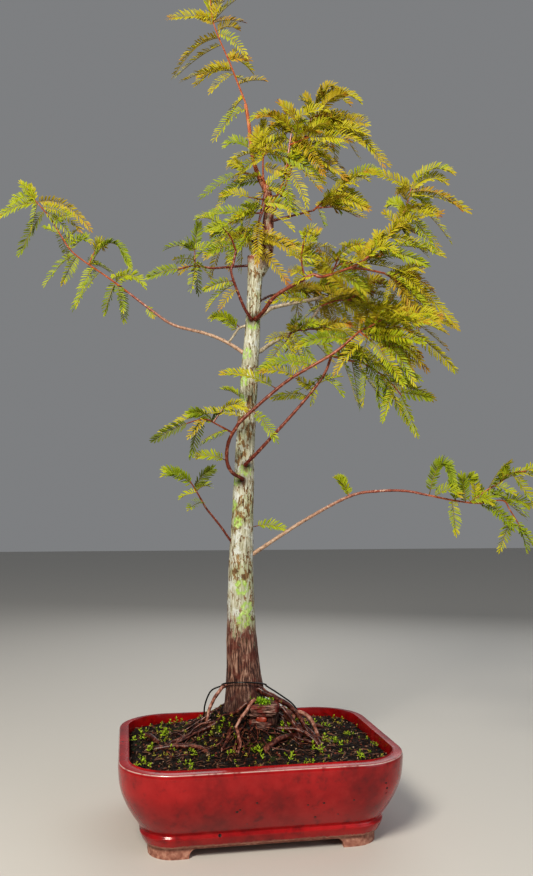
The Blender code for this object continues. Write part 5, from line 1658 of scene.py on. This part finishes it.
# %% Specks on the wall
# across and down the photo, and the size in mm
SPECKS = (
    (257, 803, 3), (324, 803, 3.4), (308, 805, 2.6), (315, 817, 3.2), (338, 814, 2.4), (354, 800, 2.6),
    (237, 812, 4), (240, 810, 3), (386, 783, 3), (387, 788, 3.6), (386, 793, 2.6), (247, 824, 2), (221, 806, 1.6),
)
SPECK_FLAT = 0.3
wall = BVHTree.FromPolygons(
    [FROM_ROW @ corner.co for corner in pot.data.vertices], [list(face.vertices) for face in pot.data.polygons])
specks = []
for across, down, size in SPECKS:
    place, slope, _, _ = wall.ray_cast(CAMERA_AT, sight(across, down))
    stand = slope.to_track_quat("Z", "Y").to_matrix().to_4x4()
    specks.append(Matrix.Translation(place) @ stand @ Matrix.Diagonal((size, size, size * SPECK_FLAT, 1)))
specks = scattered("soil_specks", crumb, specks)
bpy.data.objects.remove(crumb)
dried, _, _ = start_material("dried soil speck", {"Base Color": linear("#2A140E"), "Roughness": 0.85})
put(specks, dried)

# %% [markdown]
# ## Weeds, moss and litter
#
# Small bright green seedlings and tufts of moss have come up all over the soil, and a cushion of moss sits on
# the cut root. A leaf of theirs is a plane with a fold and two narrow ends. Six leaves make a seedling, and
# the seedlings are dealt out like the crumbs. Fallen needles are copies of the needle in a rust tint.

# %% A leaf and a seedling
bpy.ops.mesh.primitive_plane_add(size=1, location=(0.5, 0, 0))
leaf = bpy.context.object
open_mesh(leaf)
bpy.ops.mesh.select_all(action="SELECT")
bpy.ops.mesh.bisect(plane_co=(0.55, 0, 0), plane_no=(1, 0, 0))
bpy.ops.mesh.select_all(action="SELECT")
bpy.ops.mesh.bisect(plane_co=(0, 0, 0), plane_no=(0, 1, 0))
pick(leaf, "VERT", lambda corner: abs(corner.co.x) > 0.49 and abs(corner.co.y) > 0.01)
bpy.ops.transform.resize(value=(0.9, 0.3, 1))
pick(leaf, "VERT", lambda corner: abs(corner.co.y) > 0.01)
bpy.ops.transform.resize(value=(1, 0.55, 1), center_override=(0.5, 0, 0))
bpy.ops.transform.translate(value=(0, 0, 0.12))
bpy.ops.object.mode_set(mode="OBJECT")
choose(leaf)
bpy.ops.object.transform_apply(location=True)
ring = [Matrix.Rotation(math.radians(turn), 4, "Z") @ Matrix.Translation((0, 0, lift))
        @ Matrix.Rotation(math.radians(-rise), 4, "Y") @ Matrix.Scale(size, 4)
        for turn, lift, rise, size in (
            (0, 0.1, 20, 0.8), (130, 0.2, 26, 0.9), (245, 0.3, 22, 0.8), (60, 0.6, 48, 0.7),
            (190, 0.7, 52, 0.7), (310, 0.9, 66, 0.55))]
seedling = scattered("seedling", leaf, ring)
print("seedling:", triangles(seedling), "triangles")

# %% Weeds, moss and litter on the soil
# where the larger seedlings stand, to the right and to the back of the pot's middle
SEEDLINGS_AT = (
    (-34, -8), (-19, -53), (-13, -18), (7, -34), (35, 9), (36, -11), (36, -52), (69, -24), (84, 6), (96, -1),
    (-137, 14), (-108, -83), (-103, 28), (-61, -86), (-55, -15), (-27, -13), (4, -43), (56, 40), (113, 37),
    (118, -46), (-66, -51), (-86, -22), (61, -74), (96, -90), (-112, -32), (40, 80), (-60, 70), (-20, 96),
    (80, 60), (-100, 80), (10, 70),
)
CLUSTER_MM = 5


def clusters(middles, count, sizes, rng):
    """Matrices that set a few small pieces close round each of the given places."""
    spots = []
    for x, y in middles:
        for _ in range(count):
            place, _ = on_soil(x + rng.gauss(0, CLUSTER_MM), y + rng.gauss(0, CLUSTER_MM))
            if place is not None and stands_in(Matrix.Rotation(TREE_TURN, 3, "Z") @ place) > RIM_ROOM:
                turn = Matrix.Rotation(rng.uniform(0, math.tau), 4, "Z") @ Matrix.Rotation(rng.gauss(0, 0.3), 4, "X")
                spots.append(Matrix.Translation(place) @ turn @ Matrix.Scale(rng.uniform(*sizes), 4))
    return spots


MOSS_AT = Vector((10, -1, 126))
MOSS_SIZE = (5.5, 3, 2.4)
weeds = scattered("weeds", seedling, clusters(SEEDLINGS_AT, 4, (2.5, 6), rng) + spots_on_soil(60, (2, 5), 0.4, rng))
pale_weeds = scattered("pale_weeds", seedling, spots_on_soil(130, (1.6, 4), 0.5, rng, 0.3))
cushion = []
for _ in range(260):
    heading = rng.uniform(0, 360)
    rise = rng.uniform(5, 85)
    start = MOSS_AT + Vector((rng.gauss(0, side) for side in MOSS_SIZE))
    aim = heading_vector(heading + rng.uniform(-30, 30), rise).to_track_quat("X", "Z").to_matrix().to_4x4()
    cushion.append(Matrix.Translation(start) @ aim @ Matrix.Scale(rng.uniform(2, 4), 4))
moss_cushion = scattered("moss_cushion", leaf, cushion)
fallen = [spot @ Matrix.Diagonal((1, 0.13, 1, 1)) for spot in spots_on_soil(850, (3, 12), 0.3, rng, 0.8)]
litter = mesh_of_copies("fallen_needles", np.concatenate([
    NEEDLE @ np.array(spot.to_3x3()).T + np.array(spot.translation) for spot in fallen]), NEEDLE_FACES, 7)
bpy.data.objects.remove(leaf)
bpy.data.objects.remove(seedling)
fresh, _, _ = start_material("seedling leaf", {"Base Color": linear("#98B01C"), "Roughness": 0.6})
pale_fresh, _, _ = start_material("pale seedling leaf", {"Base Color": linear("#A09A34"), "Roughness": 0.6})
moss_leaf, _, _ = start_material("moss leaf", {"Base Color": linear("#86AE10"), "Roughness": 0.6})
dry, _, _ = start_material("fallen needle", {"Base Color": linear("#64402A"), "Roughness": 0.7})
put(weeds, fresh, sharp=180)
put(pale_weeds, pale_fresh, sharp=180)
put(moss_cushion, moss_leaf, sharp=180)
put(litter, dry, sharp=180)

# %% [markdown]
# ## Roots
#
# Roots as thick as a pencil run out of the trunk's foot over the mound, dive into the soil and come up again.
# One stands free in the air at the left and one makes a ridge down to the right. They are limbs like the
# boughs, from the solid model's own courses, with more wobble. Thinner ones are added between them.

# %% The solid model's roots
# name: (the heading where it leaves the trunk, radius at its foot and tip, its course on the soil)
ROOTS = {
    "root_left": (226, 2.8, 1.7, ((26, 204), (24, 180), (22, 200))),
    "root_front_left": (-128, 2.2, 1.5, ((14, -95), (22, -94), (18, -106))),
    "root_front": (-95, 2.6, 1.6, ((10, -110), (20, -85), (22, -87))),
    "root_right": (0, 3.4, 1.9, ((33, -29), (20, 24), (16, -40), (26, -75))),
    "root_back_right": (32, 3.0, 1.8, ((26, 8), (24, 14), (28, 10))),
    "root_back": (118, 3.2, 2.0, ((28, 124), (24, 146))),
}
# name: (the height where it leaves the trunk, radius at its foot and tip, its course down to the soil)
HIGH_ROOTS = {
    "root_ridge": (139, 4.2, 2.0, (
        (24, -38, -4), (21, -10, -25), (20, 0, -30), (21, -17, -50), (22, -27, -55))),
    "root_aerial": (146, 2.4, 1.6, (
        (24, 195, -15), (17, 195, -49), (11, 202, -62), (14, 207, -71), (9, 225, -80))),
}
ROOT_START = 22
ROOT_PROUD = 0.3  # how much of its radius a root's middle lies above the soil
noise.seed_set(SEED)  # else the wobble would be another one in each run


def wandering(points, amount, rng):
    """The line with a slow sideways wobble."""
    shift = rng.uniform(0, 100)
    ends = (points[0], points[-1])
    return [ends[0], *[point + noise.noise_vector((point + UP * shift) / 9) * amount for point in points[1:-1]],
            ends[1]]


root_pieces = {}
for name, (leaves_at, thick, thin, course) in ROOTS.items():
    rng = random.Random(name)
    spot = Vector((*FOOT.xy, 0)) + heading_vector(leaves_at) * ROOT_START
    points = finer(smooth(walk(spot, [(length, heading, 0) for length, heading in course]), 8), 2)
    radii = knotted(points, thick, thin, rng, 0.3)
    for point, radius in zip(points, radii):
        point.z = soil_height(point) + radius * ROOT_PROUD
    points[-1].z -= 2 * radii[-1]
    root_pieces[name] = limb(name, wandering(points, 1.1, rng), radii, 12)
for name, (height, thick, thin, course) in HIGH_ROOTS.items():
    rng = random.Random(name)
    points = finer(limb_line(limbs["trunk"], height, course, 8), 2)
    root_pieces[name] = limb(name, wandering(points, 0.9, rng), knotted(points, thick, thin, rng, 0.2), 12)
print("roots:", len(root_pieces))

# %% More roots
# name: (radius at its two ends, places on its way, each with its lift above the soil)
FINE_ROOTS = {
    "pale arch": (2.4, 1.9, ((43, 14, -4), (46, 12, 12), (53, 12, 20), (64, 12, 18), (71, 10, 9), (75, 9, -5))),
    "front bend": (2.1, 1.2, ((2, -2, 25), (-4, -7, 22), (-10, -10, 15), (-18, -15, 7), (-14, -30, 3.5),
                              (-13, -37, 1), (-18, -44, -3))),
    "left arm": (1.9, 1.3, ((-8, 3, 17), (-20, 1, 10), (-31, 4, 7), (-42, 10, 1.5), (-52, 14, -3))),
    "red strut": (2.7, 2.2, ((32, 4, 20), (37, 1, 19), (43, -2, 15), (48, -6, 11), (54, -10, -3))),
    "curved": (2.4, 2.0, ((24, -3, -1), (37, -5, 5), (53, -8, 10), (62, -14, 9), (72, -20, 4), (76, -27, -3))),
    "small drop": (1.8, 1.3, ((-22, 2, 3), (-25, -12, 2), (-29, -28, 1), (-32, -42, -2))),
    "lying thick": (3.4, 3.0, ((12, -40, -2), (22, -30, 2), (38, -15, 3), (52, -2, 1), (60, 8, -4))),
    "lying left": (3.1, 2.4, ((-118, -24, -1), (-98, -24, 2), (-80, -26, 2.5), (-58, -34, 2), (-45, -45, -2))),
    "red piece": (3.4, 2.2, ((-128, 30, 0), (-118, 14, 3), (-106, -6, 2))),
    "left far": (1.5, 1.1, ((-92, -10, -2), (-76, 0, 3), (-62, 4, 8), (-48, 6, 4), (-40, 6, 0))),
    "right fork": (1.9, 1.3, ((34, 8, 10), (50, 4, 6), (66, 2, 3), (82, 6, 1), (98, 2, -2))),
    "right low": (1.9, 1.3, ((36, -2, 6), (48, -10, 2), (64, -12, 2), (76, -22, 1), (84, -38, -2))),
}
PALE_ROOTS = ("pale arch", "front bend", "root_aerial")
fine_roots = {}
for name, (thick, thin, way) in FINE_ROOTS.items():
    rng = random.Random(name)
    places = [Vector((x, y, soil_height((x, y, 0)) + lift)) for x, y, lift in way]
    points = finer(smooth(places, 8), 2)
    fine_roots[name] = limb(name, wandering(points, 1.0, rng), knotted(points, thick, thin, rng, 0.1), 10)
print("more roots:", len(fine_roots))

# %% Rootlets and fibres, by chance
ROOTLETS = 60
rng = random.Random("rootlets")
rootlets = []
while len(rootlets) < ROOTLETS:
    heading = rng.uniform(0, 360)
    start = FOOT + heading_vector(heading) * rng.uniform(24, 70)
    points = [Vector((*start.xy, 0))]
    for _ in range(rng.randint(3, 6)):
        heading += rng.gauss(0, 32)
        points.append(points[-1] + heading_vector(heading) * rng.uniform(7, 15))
    if min(stands_in(Matrix.Rotation(TREE_TURN, 3, "Z") @ point) for point in points) < RIM_ROOM:
        continue
    for point in points:
        point.z = soil_height(point) + rng.uniform(-0.5, 3)
    line = finer(smooth(points, 5), 2.5)
    thick = rng.uniform(0.35, 1.1)
    rootlets.append(limb("rootlet", line, taper(line, thick, thick * 0.5), 6))
print("rootlets:", len(rootlets))

# %% [markdown]
# ## The torn stump
#
# In front of the trunk sits the stump of a root that was cut and tore: two blocks of fibrous wood, one above
# the other, with a glowing red gap where the bark came off. Each block is a cube with beveled edges, pulled to
# a point at its torn end, remeshed and raised by noise that is stretched from side to side like its fibres.

# %% Two torn blocks and the gap between them
# middle, size, how much the left and the right end are narrowed
BLOCKS = (
    ((11, 3, 118.5), (35, 22, 17), 0.35, 0.75), ((8, 2.5, 101), (29, 20, 14), 0.6, 0.7),
    ((9, 3, 109.6), (13, 20, 5), 0.7, 0.7),
)
BLOCK_VOXEL = 0.8
stump = []
for number, (middle, size, left, right) in enumerate(BLOCKS):
    bpy.ops.mesh.primitive_cube_add(size=1, location=middle)
    torn = bpy.context.object
    torn.name = "stump_block"
    open_mesh(torn)
    bpy.ops.mesh.select_all(action="SELECT")
    bpy.ops.transform.resize(value=size)
    bpy.ops.mesh.bevel(offset=min(size) * 0.42, segments=4, profile=0.5)
    for side, share in ((-1, left), (1, right)):
        pick(torn, "VERT", lambda corner, side=side, size=size: corner.co.x * side > size[0] / 2 - 1)
        bpy.ops.transform.resize(value=(1, share, share))
    closed(torn)
    choose(torn)
    bpy.ops.object.transform_apply(location=True)
    add_modifier(torn, "REMESH", mode="VOXEL", voxel_size=BLOCK_VOXEL)
    raised(torn, "torn lumps", 12, (1.5, 1, 1), 5)
    raised(torn, "torn layers", 5, (6, 1, 1), 3.4)
    raised(torn, "torn fibres", 2, (6, 1, 1), 1.6)
    stump.append(torn)
print("torn blocks:", [triangles(torn) for torn in stump])

# %% Their finish
torn_wood, shader, add = start_material("torn fibrous root wood", {"Roughness": 0.55, "IOR": 1.45})
place = add("TexCoord", out="Object")
layers = add("Mapping", {"Vector": place, "Scale": (0.16, 0.6, 1)})
layer = add("TexNoise", {"Vector": layers, "Scale": per_metre(2), "Detail": 7, "Roughness": 0.65})
stain = add("TexNoise", {"Vector": place, "Scale": per_metre(9), "Detail": 3})
colour = add("ValToRGB", {"Fac": layer}, stops=(
    (0.36, "#140907"), (0.46, "#40231C"), (0.55, "#7A574C"), (0.68, "#AE9186")))
share = add("MapRange", {"Value": stain, "From Min": 0.5, "From Max": 0.6, "To Max": 0.75})
colour = add("Mix", {0: share, 6: colour, 7: linear("#6E2014")}, 2, data_type="RGBA")
bump = add("Bump", {"Height": layer, "Strength": 1.0, "Distance": 0.0015}, "Normal")
feed(shader, Base_Color=colour, Normal=bump)
bared, _, _ = start_material("bared red root wood", {"Base Color": linear("#8A3018"), "Roughness": 0.4})
put(stump.pop(), bared).name = "stump_gap"
put(join("stump_torn", stump), torn_wood)

# %% [markdown]
# ## Root bark
#
# Wet young root bark: smooth, shining, dark red-brown, with pink and tan patches that are painted highlights.
# The two that stand free of the soil are paler.

# %% Finish of the roots


def root_bark_of(name, dark, middle, pale_and_highlight, gloss):
    material, shader, add = start_material(name, {"Roughness": gloss, "IOR": 1.45})
    place = add("TexCoord", out="Object")
    skin = add("TexNoise", {"Vector": place, "Scale": per_metre(5), "Detail": 6, "Roughness": 0.65})
    # the palest stop is a painted highlight, and on the pale roots it is partly their own pale bark as well
    colour = add("ValToRGB", {"Fac": skin}, stops=((0.34, dark), (0.5, middle), (0.68, pale_and_highlight)))
    bump = add("Bump", {"Height": skin, "Strength": 0.7, "Distance": 0.0008}, "Normal")
    feed(shader, Base_Color=colour, Normal=bump)
    return material


# the last colour of each is its palest stop: painted highlights dealt out by noise
wet_root = root_bark_of("wet red root bark", "#120604", "#481D15", "#96604C", 0.34)
dry_root = root_bark_of("dry pink root bark", "#4E261C", "#94604F", "#CCA898", 0.42)
every_root = {**root_pieces, **fine_roots}
wet = [piece for name, piece in every_root.items() if name not in PALE_ROOTS]
put(join("roots_wet", wet + rootlets), wet_root, [n for n in nodes_named("root") if n not in PALE_ROOTS])
put(join("roots_dry", [every_root[name] for name in PALE_ROOTS]), dry_root, ["root_aerial"])

# %% [markdown]
# ## The tie wire
#
# A black coated wire comes out of the soil, lies over the front of the trunk and goes into the soil again,
# to hold the tree in its pot. It is a curve with a round bevel, like the limbs, but with the same radius all
# along.

# %% The wire
TIE_HEIGHT = 138
TIE_BAND = 14
TIE_RISE = 10
TIE_ENDS = (170, 370)
TIE_STEP = 20
TIE_RADIUS = 0.9
TIE_LEFT = ((15, 172, -25), (18, 165, -65), (15, 160, -85))
TIE_RIGHT = ((20, 8, -33), (21, 8, -38), (22, 12, -62))
TIE_OVER_BARK = 0.7
middle = at_height(trunk_line(), TIE_HEIGHT)
near = [FROM_ROW @ corner.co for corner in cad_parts["trunk"].data.vertices]
near = [place for place in near if abs(place.z - TIE_HEIGHT) < TIE_BAND and place.z > SOIL_FOOT + TIE_BAND]
reach = max((place.xy - middle.xy).length for place in near) + TIE_RADIUS + TIE_OVER_BARK
bend = []
for heading in range(TIE_ENDS[0], TIE_ENDS[1] + 1, TIE_STEP):
    rise = TIE_RISE * math.sin(math.pi * (heading - TIE_ENDS[0]) / (TIE_ENDS[1] - TIE_ENDS[0]))
    bend.append(middle + heading_vector(heading) * reach + UP * rise)
way = [*walk(bend[0], TIE_LEFT)[:0:-1], *bend, *walk(bend[-1], TIE_RIGHT)[1:]]
points = finer(smooth(way, 5), 1.5)
tie = limb("tie_wire_black", points, [TIE_RADIUS] * len(points), 10)
coating, _, _ = start_material("black plastic-coated wire", {
    "Base Color": linear("#0B0B0C"), "Roughness": 0.32, "IOR": 1.5})
put(tie, coating, ["tie_wire"])
print("the wire lies", round(reach, 1), "mm from the trunk's middle")
